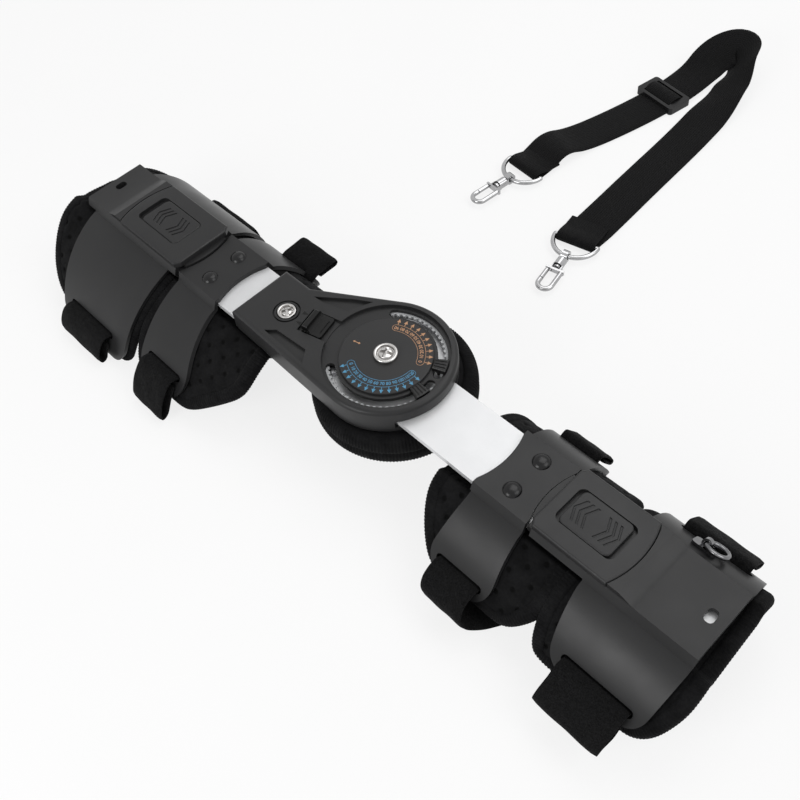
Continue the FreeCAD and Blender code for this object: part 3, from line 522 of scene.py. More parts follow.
def makeSleeve(name, end, values):
    low = floorZ + values["barHeight"]
    middle = (values["outer"] + values["inner"]) / 2
    path = [(-3.0, floorZ + 1.15), (-0.1, low - middle)]
    path += [(x, low + z) for x, z in (ringAt(middle, deg) for deg in range(-80, 91, 10))]
    path += [(-2.5, low + middle - 0.15), (-6.0, low + middle - 1.2), (-10.0, floorZ + 3.9),
             (-values["tail"], floorZ + 3.1)]
    half, thick = values["half"], values["thickness"]
    points, uv, run = [], [], 0.0
    for i, (x, z) in enumerate(path):
        before, after = path[max(i - 1, 0)], path[min(i + 1, len(path) - 1)]
        run += hypot(x - path[i - 1][0], z - path[i - 1][1]) if i else 0
        dx, dz = after[0] - before[0], after[1] - before[1]
        length = hypot(dx, dz) or 1
        nx, nz = -dz / length * thick / 2, dx / length * thick / 2
        for y, s in ((-half, -0.6), (-half + 0.5, -1), (0, -1), (half - 0.5, -1), (half, -0.6),
                     (half, 0.6), (half - 0.5, 1), (0, 1), (-half + 0.5, 1), (-half, 0.6)):
            points.append(endAt(end, x + nx * s, y, z + nz * s))
            uv.append((y, run))
    piece = makePiece(name, points, loftFaces(len(path), 10, False), "webbing", uv, sharp=60)
    return attach(piece, "shoulder_strap")


# the path is the short web over the middle bar: along the strap, and height above the floor
glideSet = {"at": (-57.5, 319.0), "deg": 80.0, "scale": (0.9, 0.84, 0.86), "edge": 0.8, "half": 12.2,
            "path": ((-8.2, 2.2), (-6.4, 3.2), (-4.2, 5.4), (-1.6, 6.5), (1.6, 6.5), (4.2, 5.4), (6.4, 3.2),
                     (8.2, 2.2)), "step": 0.8, "thickness": 1.7}


def makeGlide(values):
    ahead, side = (Vector((*ringAt(1, values["deg"] + extra), 0)) for extra in (0, 90))
    middle = at(*values["at"], floorZ)
    mesh = nodes["strap_tri_glide"].data.copy()
    for vertex in mesh.vertices:
        away = vertex.co - middle
        axes = zip((ahead, side, Vector((0, 0, 1))), values["scale"])
        x, y, z = (away.dot(axis) * scale for axis, scale in axes)
        vertex.co = middle + ahead * x + side * y + Vector((0, 0, z))
    buckle = bevelMesh(mesh, values["edge"], "glideFrame", "shoulder_strap", "strap_tri_glide")
    path = catmull(values["path"], values["step"])
    points, uv = [], []
    for i, p in enumerate(path):
        step = alongPath(path, i)
        normal = Vector((-step.y, step.x)).normalized() * values["thickness"] / 2
        for k, w, s in bandRing(8):
            q = p + normal * s * (1 - 0.5 * abs(w) ** 8)
            points.append(middle + ahead * q.x * mm + side * w * values["half"] * mm + Vector((0, 0, q.y * mm)))
            uv.append((w * values["half"], i * values["step"]))
    piece = makePiece("glideWeb", points, loftFaces(len(path), 18, False), "webbing", uv, sharp=60)
    return [buckle, attach(piece, "shoulder_strap")]


roundFrom = 17.0     # degrees between faces, from which an edge is rounded


def bevelMesh(mesh, radius, name, body, node):
    work = bmesh.new()
    work.from_mesh(mesh)
    bmesh.ops.remove_doubles(work, verts=work.verts, dist=1e-6)
    bmesh.ops.dissolve_limit(work, angle_limit=radians(0.6), verts=work.verts, edges=work.edges)
    for edge in work.edges:
        edge.smooth = edge.calc_face_angle(0.0) < radians(roundFrom)
    for face in work.faces:
        face.smooth = True
    work.to_mesh(mesh)
    work.free()
    piece = addObject(name, mesh)
    bevel = piece.modifiers.new("edges", "BEVEL")
    bevel.width = radius * mm
    bevel.segments = 3
    bevel.limit_method = "ANGLE"
    bevel.angle_limit = radians(roundFrom)
    bevel.harden_normals = True
    bpy.context.view_layer.update()
    done = bpy.data.meshes.new_from_object(piece.evaluated_get(bpy.context.evaluated_depsgraph_get()))
    piece.modifiers.clear()
    piece.data = done
    return attach(piece, body, node)


glide = makeGlide(glideSet)
sleeves = [makeSleeve("webbingSleeve" + letter, end, sleeveSet) for letter, end in zip("AB", sleeveSet["ends"])]
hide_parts("strap_webbing")


# extra height of the lining at the middle of a cuff: from x, over a length, height
padPuff = {("thigh", "outer"): (224, 8, 7.5), ("calf", "outer"): (203, 6, 2)}
puffSpread = ((-200, 0.0), (-24, 0.0), (-12, 0.35), (0, 0.75), (14, 0.85), (26, 0.55), (62, 0.0), (200, 0.0))
padSet = {"depth": 7.0, "gap": 2.6, "crown": -8.6, "flat": 19.0, "lead": 3, "corner": 16.0, "outlineStep": 0.45,
          "binding": 8.0, "ribPitch": 1.8, "ribDepth": 0.32, "grid": 1.15, "columns": 74, "swell": 0.35,
          "dip": 1.1, "rim": 6.0, "overlap": 1.5}
wingSizes = {
    # section, cuff: top height, then radius and pad outline for the +y side and for the -y side
    ("calf", "inner"): (
        3, (46, ((60, -14), (66, -52.5), (110, -52.5), (141, -24))),
        (58, ((59, -9), (80, -38), (128, -38), (142, -20)))),
    ("calf", "outer"): (
        4, (46, ((141, -12), (150, -39), (205, -39), (210.5, -20))),
        (58, ((137, -12), (143, -37), (200, -37), (208, -28), (214, -12)))),
    ("thigh", "inner"): (
        3, (72, ((54, -18), (90, -46), (137, -46), (144, -24))),
        (47, ((62, -18), (80, -52.5), (130, -52.5), (137, -30)))),
    ("thigh", "outer"): (
        4, (72, ((140.5, -14), (147, -51.2), (200, -51.2), (224, -40), (237, -24), (243, -9))),
        (47, ((140.5, -14), (147, -52.3), (200, -52.3), (221, -38), (231, -22), (237, -9)))),
}
cuffCrown = {"half": 21.5, "drop": 5.5, "padFrom": 21.9}      # where the wings leave the middle of a cuff


def arcCentre(radius, top):
    return top - cuffCrown["drop"] - sqrt(radius ** 2 - cuffCrown["half"] ** 2)


# a pad lies level under the crown, eases down, then follows the wing's arc
def padArc(radius, top):
    reach, centre = radius - padSet["gap"], arcCentre(radius, top)
    start = asin(cuffCrown["padFrom"] / reach)
    join = Vector((reach * sin(start), centre + reach * cos(start)))
    away = padSet["flat"] + (join - Vector((padSet["flat"], padSet["crown"]))).length
    return {"centre": centre, "reach": reach, "start": start, "from": away}


def arcSpread(arc, z):
    return arc["from"] + (acos((z - arc["centre"]) / arc["reach"]) - arc["start"]) * arc["reach"]


def arcPoint(arc, t, depth):
    flat, lead, level = padSet["flat"], padSet["lead"], padSet["crown"] - depth
    if t <= flat - lead:
        return Vector((t, level))
    a = arc["start"] + max(0.0, (t - arc["from"]) / arc["reach"])
    r = arc["reach"] - depth
    low = Vector((r * sin(a), arc["centre"] + r * cos(a)))
    if t >= arc["from"]:
        return low
    share = (t - flat + lead) / (arc["from"] - flat + lead)
    high = Vector((flat - lead, level))
    return Vector((high.x + (low.x - high.x) * share, high.y + (low.y - high.y) * ease(share)))


def padOutline(cuff):
    top, far, near = cuff
    sides = []
    for sign, (radius, corners) in ((1, far), (-1, near)):
        arc, flat = padArc(radius, top), []
        for (x0, z0), (x1, z1) in zip(corners, corners[1:]):
            for k in range(8):
                z, x = z0 + (z1 - z0) * k / 8, x0 + (x1 - x0) * k / 8
                flat.append((sign * arcSpread(arc, z), x))
        flat.append((sign * arcSpread(arc, corners[-1][1]), corners[-1][0]))
        sides.append(flat)
    return sides[0] + sides[1][::-1]      # round the pad, in the unrolled plane


def roundOutline(outline, corner, step):
    line = [Vector(p) for p in outline]
    line.append(line[0])
    even = evenLine(line, step)[0][:-1]
    count = len(even)
    for n in range(int((corner / step) ** 2 * 0.28)):      # rounds the corners
        even = [(even[i - 1] + even[i] * 2 + even[(i + 1) % count]) / 4 for i in range(count)]
    return even


def outlineSpan(outline, t):
    found = []
    for a, b in zip(outline, outline[1:] + outline[:1]):
        if (a.x - t) * (b.x - t) <= 0 and a.x != b.x:
            found.append(a.y + (b.y - a.y) * (t - a.x) / (b.x - a.x))
    return min(found), max(found)


def makePad(section, cuff, place):
    top, far, near = wingSizes[(section, cuff)]
    arcs = {1: padArc(far[0], top), -1: padArc(near[0], top)}
    outline = roundOutline(padOutline(wingSizes[(section, cuff)]), padSet["corner"], padSet["outlineStep"])
    puffFrom, puffOver, puffHeight = padPuff.get((section, cuff), (0.0, 1.0, 0.0))
    name, node = section + cuff.title(), "%s_%s_pad" % (section, cuff)

    def lay(t, x, depth):
        side = 1 if t >= 0 else -1
        share = max(0.0, min(1.0, (x - puffFrom) / puffOver))
        rise = puffHeight * between(puffSpread, t)
        depth -= rise * ease(share)
        p = arcPoint(arcs[side], abs(t), depth)
        return place(x, side * p.x, p.y)

    # the panel, inside the binding
    inset = padSet["binding"] - padSet["overlap"]
    lowT, highT = min(p.x for p in outline) + inset, max(p.x for p in outline) - inset
    rows = int((highT - lowT) / padSet["grid"])
    columns, rimWidth, pitch = padSet["columns"], padSet["rim"], holePattern["pitch"]
    points, uv = [], []
    for level in (0, 1):
        for i in range(rows + 1):
            t = lowT + (highT - lowT) * i / rows
            low, high = outlineSpan(outline, t)
            x0, x1 = low + inset, high - inset
            if x1 < x0:
                x0 = x1 = (x0 + x1) / 2
            for k in range(columns + 1):
                x = x0 + (x1 - x0) * k / columns
                rim = min(t - lowT, highT - t, x - x0, x1 - x, rimWidth) / rimWidth
                swell = padSet["swell"] * sin(x * 0.11 + t * 0.05) * sin(t * 0.13 + 1.3)
                dip = 0.0
                for shift in (0.0, 0.5):
                    dt = ((t / pitch + shift + 0.5) % 1 - 0.5) * pitch
                    dx = ((x / pitch + shift + 0.5) % 1 - 0.5) * pitch
                    dip = max(dip, exp(-(dt * dt + dx * dx) / 2.2))
                if level == 0:
                    depth = 0.55 + (0.25 + swell) * rim * 0.6 + padSet["dip"] * dip - 0.35 * rim
                else:
                    depth = padSet["depth"] - 0.6 + swell * rim * 0.6 - padSet["dip"] * dip
                points.append(lay(t, x, depth))
                uv.append((t, x))
    faces, wide = [], columns + 1
    size = (rows + 1) * wide
    for i in range(rows):
        for k in range(columns):
            a = i * wide + k
            quad = (a, a + 1, a + wide + 1, a + wide)
            faces += [quad, tuple(size + n for n in quad[::-1])]
    edges = [(i * wide + k, wide) for i in range(rows) for k in (0, columns)]
    edges += [(i * wide + k, 1) for k in range(columns) for i in (0, rows)]
    faces += [(a, a + n, size + a + n, size + a) for a, n in edges]
    panel = makePiece(name + "PadPanel", points, faces, "foam", uv)

    # ribbed binding round the edge
    count = len(outline)
    wide, depth = padSet["binding"], padSet["depth"]
    profile = [(wide, 1.2), (wide - 0.5, 0.25), (wide - 1.8, 0.0), (5.2, -0.1), (3.4, 0.0), (1.9, 0.45),
               (0.7, 1.5), (0.1, 3.0), (0.1, 4.4), (0.8, 5.8), (2.1, 6.7), (3.6, 7.0), (5.4, 7.1),
               (wide - 1.8, 7.0), (wide - 0.5, 6.8), (wide, 5.9)]      # in from the edge, and down
    inward = []
    for i in range(count):
        ahead = outline[(i + 3) % count] - outline[i - 3]
        inward.append(Vector((-ahead.y, ahead.x)).normalized())
    middle = sum(outline, Vector((0, 0))) / count
    if sum((middle - outline[i]).dot(inward[i]) for i in range(count)) < 0:
        inward = [-v for v in inward]
    ringPoints, ringUv, run = [], [], 0.0
    for i in range(count):
        run += (outline[i] - outline[i - 1]).length
        rib = 0.5 + 0.5 * cos(2 * pi * run / padSet["ribPitch"])
        for d, n in profile:
            edgeShare = max(0.0, 1 - abs(d - 3.2) / 4.6)
            lift = padSet["ribDepth"] * rib * (0.35 + 0.65 * edgeShare)
            flip = 1 if n < depth / 2 else -1
            p = outline[i] + inward[i] * (d + (lift if 0.1 < n < depth - 0.1 and d < 2 else 0))
            ringPoints.append(lay(p.x, p.y, max(0.0, n) + flip * lift))
            ringUv.append((run, d))
    binding = makePiece(name + "PadBinding", ringPoints, loftFaces(count, len(profile), True), "binding", ringUv)
    for piece in (panel, binding):
        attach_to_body(piece, bodyOf(node))
    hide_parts(node)


for section, place in (("calf", calfAt), ("thigh", thighAt)):
    for cuff in ("inner", "outer"):
        makePad(section, cuff, place)
print("cuff pads sewn")

foldBand = {"thickness": 1.8, "step": 0.8, "across": 14, "gap": 0.6, "inset": 1.2}
slotStart = ((-0.3, -4), (-0.2, -1.2))      # both layers come up through the slot
strapEnds = {
    # place, side, wing radius, top, slot angle, span along x, lean, then the path: down, out and sideways
    "calf_inner_strap_near": (
        calfAt, -1, 58, 3, 57, (84, 112), 0,
        ((-0.3, -4.5), (0, -1.2), (0.8, 1.8), (3.6, 4.8), (8.6, 7.4, 0.5), (14, 7.4, 2), (18.2, 3.8, 4.5),
         (18.8, -3, 8), (16.6, -10.4, 12), (13.4, -16.4, 15.5), (9.6, -21, 18))),
    "calf_inner_strap_far": (
        calfAt, 1, 46, 3, 60, (84, 110), 2,
        (*slotStart, (0.2, 1.6), (2.2, 3.3), (11, 3.9), (18, 3.5), (20.6, 2.3), (18, 0.9), (9, 0.8))),
    "calf_outer_strap_near": (
        calfAt, -1, 58, 4, 54.5, (158.5, 196.5), 8,
        (*slotStart, (0.3, 2.2), (2.4, 4.9), (8, 6.2), (15, 6.2, -0.6), (20.4, 5.4, -1), (22.4, 3.6, -1),
         (19.4, 1.9, -1), (12, 1.4), (5, 1.3))),
    "calf_outer_strap_far": (
        calfAt, 1, 46, 4, 49.5, (160, 197), 0,
        (*slotStart, (0.2, 1.6), (2.2, 3.3), (10, 3.9), (17, 3.5), (19.4, 2.3), (17, 0.9), (9, 0.8))),
    "thigh_inner_strap_near": (
        thighAt, 1, 72, 3, 53, (96, 126), -6,
        (*slotStart, (0.3, 2.4), (2.6, 5.4), (9, 6.8), (17, 6.8), (24.4, 5.6), (26.8, 3.4), (23, 1.3), (13, 1.3),
         (5, 1.3))),
    "thigh_inner_strap_far": (
        thighAt, -1, 47, 3, 58, (88, 120), 0,
        (*slotStart, (0.4, 1.8), (2.2, 5.4), (4.4, 9.6), (6.6, 13.2), (8.8, 14.4), (9.8, 12.6), (7.8, 8.8),
         (5.2, 4.6), (3.6, 2.2))),
    "thigh_outer_strap_near": (
        thighAt, 1, 72, 4, 61.5, (159, 203), -4,
        (*slotStart, (0.3, 2.4), (2.6, 5.4), (7, 6.8), (12, 6.8), (16, 5.6), (17.4, 3.4), (15, 1.3), (10, 1.3),
         (5, 1.3))),
    "thigh_outer_strap_far": (
        thighAt, -1, 47, 4, 76, (159, 203), 0,
        (*slotStart, (0.2, 1.2), (2, 2.6), (6, 2.9), (10, 2.6), (11.6, 1.8), (9.6, 0.7), (5, 0.7))),
}


def makeStrapEnd(node, values):
    place, side, radius, top, deg, (x0, x1), lean, loop = values
    a, b = radians(deg), radians(lean)
    centre = arcCentre(radius, top)

    def fold(x, down, out):
        y = down * cos(b) - out * sin(b)
        z = radius + foldBand["gap"] + down * sin(b) + out * cos(b)
        return place(x, side * (y * cos(a) + z * sin(a)), centre - y * sin(a) + z * cos(a))

    path = catmull([(*p, 0)[:3] for p in loop], foldBand["step"])
    half, across = foldBand["thickness"] / 2, foldBand["across"]
    points, uv, run = [], [], 0.0
    for i, p in enumerate(path):
        ahead = alongPath(path, i)
        normal = Vector((-ahead.y, ahead.x, 0)).normalized()
        run += (p - path[i - 1]).length if i else 0
        taper = 1 - 0.25 * max(0.0, 1 - i / 3) - 0.25 * max(0.0, 1 - (len(path) - 1 - i) / 2)
        for k, w, s in bandRing(across):
            wave = 0.12 * sin(k * 0.9 + run * 0.35) * min(1, run / 8)
            thick = half * (0.4 + 0.6 * sqrt(max(0.0, 1 - abs(w) ** 10))) * taper
            q = p + normal * (s * thick + wave)
            x = (x0 + x1) / 2 + w * ((x1 - x0) / 2 - foldBand["inset"]) + q.z
            points.append(fold(x, q.x, q.y))
            uv.append((x, run))
    faces = loftFaces(len(path), 2 * (across + 1), False)
    piece = makePiece(node.title().replace("_", ""), points, faces, "strap", uv, sharp=60)
    attach(piece, bodyOf(node), node)


for node, values in strapEnds.items():
    makeStrapEnd(node, values)
print("strap ends folded")

condylePad = {"x": 1.5, "y": 2.0, "top": -8.2, "bottom": -28.2, "radius": 44.5, "ribs": 156, "ribDepth": 0.45,
              "perRib": 6,      # then radius, height from a face or from the middle, and share of the ribs
              "face": ((0.02, 0.2, 0), (8, 0.1, 0), (16, 0, 0), (24, 0, 0), (31, 0.1, 0), (35.6, 0.25, 0),
                       (36.4, 1.1, 0), (37.2, 0.2, 0.2), (39.4, 0.1, 0.6), (41.6, 0.7, 0.9), (43.3, 2.3, 1),
                       (44.1, 4.6, 1)),
              "waist": ((44.4, 2.2, 1), (43.9, 0.9, 0.8), (43.3, 0, 0.3))}


def makeCondylePad(values):
    top, bottom, face, waist = (values[key] for key in ("top", "bottom", "face", "waist"))
    middle = (top + bottom) / 2
    profile = [(r, top - d, share) for r, d, share in face] + [(r, middle + d, share) for r, d, share in waist]
    profile += [(r, middle - d, share) for r, d, share in waist[-2::-1]]
    profile += [(r, bottom + d, share) for r, d, share in face[::-1]]
    count = values["ribs"] * values["perRib"]
    points, uv = [], []
    for i in range(count):
        a = 2 * pi * i / count
        rib = 0.5 - 0.5 * cos(a * values["ribs"])
        for r, z, share in profile:
            reach = r - values["ribDepth"] * rib * share
            points.append(at(values["x"] + reach * cos(a), values["y"] + reach * sin(a), z))
            uv.append((a * values["radius"], r + z))
    piece = makePiece("condylePadCover", points, turnedFaces(count, len(profile)), "binding", uv, sharp=60)
    attach(piece, "thigh_frame", "condyle_pad")


makeCondylePad(condylePad)
print("condyle pad sewn")

# radius of the small round along each moulded part's edges
edgeRounds = {
    "calf_inner_cuff": 0.9, "calf_outer_cuff": 0.9, "thigh_inner_cuff": 0.9, "thigh_outer_cuff": 0.9,
    "calf_slide_cover": 0.4, "thigh_slide_cover": 0.4, "hinge_front_cover": 0.4, "hinge_back_cover": 0.4,
    "quick_lock": 0.35, "calf_thumb_slider": 0.2, "thigh_thumb_slider": 0.2,
}
for node, radius in edgeRounds.items():
    bevelMesh(nodes[node].data.copy(), radius, node + "_rounded", bodyOf(node), node)
print("edges rounded:", len(edgeRounds))

dialPrint = {
    "height": 8.1, "lift": 0.04, "digit": 1.95, "numberRadius": 18.3, "band": (16.3, 20.3), "line": 0.22,
    "blue": {"from": -120, "values": range(0, 121, 10), "step": 10, "ink": "inkBlue"},
    "bronze": {"from": 28, "values": range(0, 91, 10), "step": 10, "ink": "inkBronze"},
    "arrow": (22.1, 24.2, 2.1), "shaft": (20.6, 22.3, 0.34),      # radii and width
}


def flatPiece(name, outlines, ink, low, high, body="thigh_frame", slotName="dial_label"):
    points, faces = [], []
    for outline in outlines:
        start = len(points)
        points += [at(x, y, low) for x, y in outline] + [at(x, y, high) for x, y in outline]
        faces += [tuple(start + n for n in face) for face in loftFaces(2, len(outline), False)]
    attach(makePiece(name, points, faces, ink, smooth=False), body)


# a thin line round a band of the dial, with half-round ends
def bandStrips(r0, r1, deg0, deg1, line):
    strips, path, overlap = [], [], 0.03
    middle, half = (r0 + r1) / 2, (r1 - r0) / 2
    for radius, first, last, turnFrom in ((r1, deg0, deg1, 0), (r0, deg1, deg0, 180)):
        path += [ringAt(radius, first + (last - first) * i / 60) for i in range(61)]
        for turn in range(1, 12):
            b = radians(turnFrom + turn * 15)
            path.append(turned(middle + half * cos(b), half * sin(b), last))
    for (x0, y0), (x1, y1) in zip(path, path[1:] + path[:1]):
        dx, dy = x1 - x0, y1 - y0
        length = hypot(dx, dy)
        if length < 1e-6:
            continue
        nx, ny = -dy / length * line / 2, dx / length * line / 2
        ex, ey = dx / length * overlap, dy / length * overlap
        strips.append([(x0 - nx - ex, y0 - ny - ey), (x1 - nx + ex, y1 - ny + ey), (x1 + nx + ex, y1 + ny + ey),
                       (x0 + nx - ex, y0 + ny - ey)])
    return strips


def makeNumber(text, deg, values):
    curve = bpy.data.curves.new("number", "FONT")
    curve.body = text
    curve.size = values["digit"] * 1.38 * mm
    curve.align_x, curve.align_y = "CENTER", "CENTER"
    curve.extrude = values["lift"] / 2 * mm
    curve.offset = 0.00003
    curve.resolution_u = 3
    holder = addObject("number", curve)
    a = radians(deg)
    up, right = Vector((-cos(a), -sin(a), 0)), Vector((-sin(a), cos(a), 0))
    squeeze = 0.78 if len(text) > 2 else 0.95
    turn = Matrix((right * squeeze, up, Vector((0, 0, 1)))).transposed().to_4x4()
    x, y = ringAt(values["numberRadius"], deg)
    holder.matrix_world = Matrix.Translation(at(x, y, values["height"] + values["lift"] / 2)) @ turn
    bpy.context.view_layer.update()
    mesh = bpy.data.meshes.new_from_object(holder)
    mesh.transform(holder.matrix_world)
    bpy.data.objects.remove(holder)
    return mesh


def makeScale(name, values, scale):
    work = bmesh.new()
    for i, number in enumerate(scale["values"]):
        mesh = makeNumber(str(number), scale["from"] + i * scale["step"], values)
        work.from_mesh(mesh)
        bpy.data.meshes.remove(mesh)
    bmesh.ops.remove_doubles(work, verts=work.verts, dist=1e-7)
    mesh = bpy.data.meshes.new(name + "Numbers")
    work.to_mesh(mesh)
    work.free()
    mesh.materials.append(finish[scale["ink"]])
    attach(addObject(name + "Numbers", mesh), "thigh_frame")
    low, high = values["height"] + 0.005, values["height"] + values["lift"]
    last = scale["from"] + (len(scale["values"]) - 1) * scale["step"]
    strips = bandStrips(*values["band"], scale["from"] - 1, last + 1, values["line"])
    flatPiece(name + "Band", strips, scale["ink"], low, high)
    inner, outer, wide = values["arrow"]
    foot, neck, stem = values["shaft"]
    arrows = []
    for i in range(len(scale["values"])):
        deg = scale["from"] + i * scale["step"]
        spread = degrees(wide / 2 / inner)
        arrows.append([ringAt(inner, deg - spread), ringAt(outer, deg), ringAt(inner, deg + spread)])
        thin = degrees(stem / 2 / foot)
        arrows.append([ringAt(foot, deg - thin), ringAt(neck, deg - thin), ringAt(neck, deg + thin),
                       ringAt(foot, deg + thin)])
    flatPiece(name + "Arrows", arrows, scale["ink"], low, high)


makeScale("flexion", dialPrint, dialPrint["blue"])
makeScale("extension", dialPrint, dialPrint["bronze"])
print("dial printed")

# direction marks beside the quick lock
lockMarks = {"distance": 52.4, "across": 3.4, "size": 1.5, "low": 8.4, "high": 8.56}


def makeLockMarks(values):
    outlines, size = [], values["size"]
    for way in (1, -1):
        outline = ((-size * way, -0.8 * size), (size * way, 0), (-size * way, 0.8 * size))
        outlines.append([turned(values["distance"] + along, way * values["across"] + across, neckDeg)
                         for along, across in outline])
    flatPiece("lockMarks", outlines, "lock", values["low"], values["high"])


makeLockMarks(lockMarks)

dialArrow = {"radius": 17.8, "reach": 2.2, "neck": 1.2, "head": 0.8, "shaft": 0.2}


def makeDialArrow(values):
    radius, reach, neck, head, shaft = values.values()
    half = [(-reach, 0), (-neck, head), (-neck, shaft), (neck, shaft), (neck, head)]
    outline = [turned(radius + u, v, neckDeg) for u, v in half + [(-u, -v) for u, v in half]]
    flatPiece("dialArrow", [outline], "inkBronze", dialPrint["height"], dialPrint["height"] + dialPrint["lift"])


makeDialArrow(dialArrow)

# black lips under the sliding covers, over the bars
seamLips = {"thigh": {"x": (134.1, 140.0), "middle": thighMiddle, "way": -1, "body": "thigh_slide_cuff"},
            "calf": {"x": (113.6, 119.5), "middle": calfMiddle, "way": 1, "body": "calf_slide_cuff"},
            "half": 18.0, "corner": 0.3, "low": 0.15, "high": 0.85,
            "skirt": {"from": 18.12, "to": 18.55, "low": -3.2}}


def makeSeamLip(name, values, shape):
    (x0, x1), half, corner = values["x"], shape["half"], shape["corner"]
    outline = []
    for cx, cy, start in ((x1 - corner, half - corner, 0), (x0 + corner, half - corner, 90),
                          (x0 + corner, corner - half, 180), (x1 - corner, corner - half, 270)):
        for k in range(7):
            dx, dy = ringAt(corner, start + 15 * k)
            outline.append((values["way"] * (cx + dx), values["middle"] + cy + dy))
    where = (shape["high"], values["body"], "cover_plastic")
    flatPiece(name + "SeamLip", [outline], "cover", shape["low"], *where)
    skirt, sides = shape["skirt"], []
    for side in (-1, 1):
        y0, y1 = sorted((values["middle"] + side * skirt["from"], values["middle"] + side * skirt["to"]))
        ends = sorted((values["way"] * x0, values["way"] * x1))
        sides.append([(ends[0], y0), (ends[1], y0), (ends[1], y1), (ends[0], y1)])
    flatPiece(name + "SeamSkirt", sides, "cover", skirt["low"], *where)


for name in ("thigh", "calf"):
    makeSeamLip(name, seamLips[name], seamLips)


screwHeads = {
    "pivot_screw": {"at": (0, 0), "foot": 8.15, "top": 10.4, "radius": 6.4, "shank": 2.9, "turn": 25},
    "neck_screw": {"at": ringAt(62.5, neckDeg), "foot": 7.25, "top": 9.3, "radius": 5.25, "shank": 2.4, "turn": 60},
}
# share of the head's radius, and height from its top
headShape = ((0.03, 0), (0.08, 0), (0.13, -0.01), (0.18, -0.02), (0.23, -0.03), (0.28, -0.05), (0.33, -0.08),
             (0.38, -0.12), (0.43, -0.17), (0.48, -0.24), (0.53, -0.34), (0.56, -0.5), (0.58, -1), (0.63, -1.5),
             (0.69, -1.5), (0.73, -1), (0.75, -0.3), (0.8, -0.14), (0.88, -0.12), (0.94, -0.2), (0.98, -0.5),
             (1, -1.1))
headCross = {"half": 0.75, "reach": 2.9, "edge": 1.1, "slope": 0.2, "depth": 1.5}
screwTurn = {"around": 144, "shankEnd": -4.4}


def makeScrew(node, values):
    (atX, atY), radius, foot, shank = values["at"], values["radius"], values["foot"], values["shank"]
    half, reach, edge, slope, deep = headCross.values()
    around, points = screwTurn["around"], []
    for i in range(around):
        a = 2 * pi * i / around
        ring = []
        for share, drop in headShape:
            x, y = (abs(v) for v in ringAt(share * radius, degrees(a) - values["turn"]))
            arm = min(max(x / half, y / reach), max(y / half, x / reach))
            ring.append((share * radius, values["top"] + drop - deep * max(0.0, min(1.0, (edge - arm) / slope))))
        for r, z in ring + [(radius, foot), (shank, foot), (shank, screwTurn["shankEnd"])]:
            points.append(at(atX + r * cos(a), atY + r * sin(a), z))
    piece = makePiece(node + "Head", points, turnedFaces(around, len(headShape) + 3), "screw", sharp=40)
    attach(piece, "thigh_frame", node)


for node, values in screwHeads.items():
    makeScrew(node, values)

# radius and height, from the dome on the cuff to the washer under the bar
rivetSet = {"spacing": 10.25, "lift": 3, "around": 48,
            "profile": ((0.03, 2.05), (1.2, 2), (2.3, 1.8), (3.2, 1.45), (3.9, 0.95), (4.35, 0.4), (4.6, 0.02),
                        (2, 0), (2, -6), (3.4, -6), (3.3, -6.6), (2.4, -6.9), (0.03, -6.9)),
            "at": {"calf_inner_rivets": (97.2, calfMiddle), "thigh_inner_rivets": (-117.1, thighMiddle)}}


def makeRivets(node, values):
    x, y = values["at"][node]
    around, points, faces = values["around"], [], []
    for side in (-1, 1):
        faces += turnedFaces(around, len(values["profile"]), len(points))
        for i in range(around):
            a = 2 * pi * i / around
            for r, z in values["profile"]:
                points.append(at(x + r * cos(a), y + side * values["spacing"] + r * sin(a), z + values["lift"]))
    piece = makePiece(node + "Domes", points, faces, "rivet", sharp=50)
    attach(piece, bodyOf(node), node)


for node in rivetSet["at"]:
    makeRivets(node, rivetSet)
print("screws and rivets turned")


def seenOrMirrored(tree):
    path = tree.nodes.new("ShaderNodeLightPath")
    mirrored = addMath(tree, "MAXIMUM", path.outputs["Is Glossy Ray"], path.outputs["Is Transmission Ray"])
    return addMath(tree, "MAXIMUM", path.outputs["Is Camera Ray"], mirrored)


def mixShaders(tree, share, first, second, output):
    mix = tree.nodes.new("ShaderNodeMixShader")
    for socket, source in zip(mix.inputs, (share, first, second)):
        tree.links.new(source, socket)
    tree.links.new(mix.outputs["Shader"], tree.nodes[output].inputs["Surface"])


stage = {"size": 6.0, "drop": 0.3, "glow": 0.8, "paper": (0.9, 0.93), "horizon": 1.0, "zenith": 0.34}


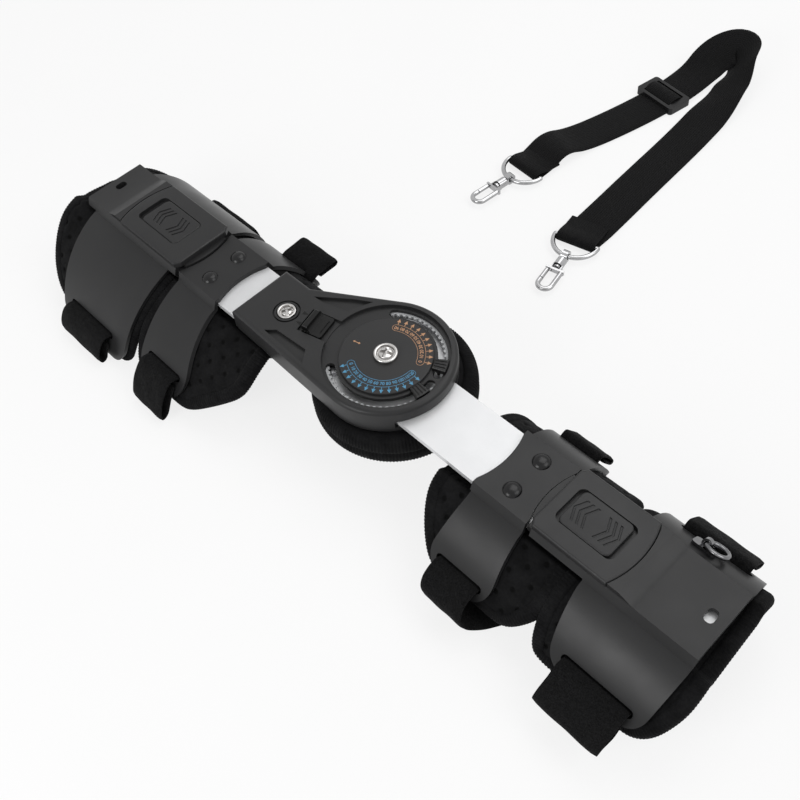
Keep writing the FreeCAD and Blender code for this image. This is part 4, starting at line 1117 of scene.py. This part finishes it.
def makeFloor(values):
    material, tree, shader, place, uv = nodeSetup("floorPaper")
    patch = addNoise(tree, place, *grains["paper"])
    rampInto(tree, shader, "Base Color", patch, values["paper"])
    setInputs(shader, {"Roughness": 0.95, "Specular IOR Level": 0.1})
    glow = tree.nodes.new("ShaderNodeEmission")
    share = addMath(tree, "MULTIPLY", seenOrMirrored(tree), values["glow"])
    mixShaders(tree, share, shader.outputs["BSDF"], glow.outputs["Emission"], "Material Output")
    mesh = bpy.data.meshes.new("floor")
    size = values["size"]
    z = pivot.z + (floorZ - values["drop"]) * mm
    mesh.from_pydata([(-size, -size, z), (size, -size, z), (size, size, z), (-size, size, z)], [], [(0, 1, 2, 3)])
    mesh.materials.append(material)
    floor = addObject("floor", mesh)


lamps = {
    # metres from the pivot, side of the square in metres, watts
    "key": {"from": (-0.05, -0.85, 0.5), "size": 0.45, "power": 3.4},
    "fill": {"from": (1.0, 0.5, 1.2), "size": 1.0, "power": 7.0},
    "top": {"from": (-0.2, 0.75, 1.4), "size": 1.0, "power": 6.5},
}


def makeLamp(name, values):
    data = bpy.data.lights.new(name, "AREA")
    data.shape = "SQUARE"
    data.size = values["size"]
    data.energy = values["power"]
    lamp = addObject(name, data)
    lamp.location = pivot + Vector(values["from"])
    lamp.rotation_mode = "QUATERNION"
    lamp.rotation_quaternion = (pivot - lamp.location).to_track_quat("-Z", "Y")


def makeWorld(values):
    world = bpy.data.worlds.new("studio")
    world.use_nodes = True
    tree = world.node_tree
    back = tree.nodes["Background"]
    coords = tree.nodes.new("ShaderNodeTexCoord")
    height = splitAxes(tree, coords.outputs["Generated"])["Z"]
    rampInto(tree, back, "Color", height, (values["horizon"], values["zenith"]), (0.12, 0.5))
    plain = tree.nodes.new("ShaderNodeBackground")
    setInputs(plain, {"Color": (1, 1, 1, 1)})
    mixShaders(tree, seenOrMirrored(tree), back.outputs["Background"], plain.outputs["Background"], "World Output")
    bpy.context.scene.world = world


makeFloor(stage)
for name, values in lamps.items():
    makeLamp(name, values)
makeWorld(stage)
bpy.context.scene.view_settings.view_transform = "Standard"
print("stage lit")
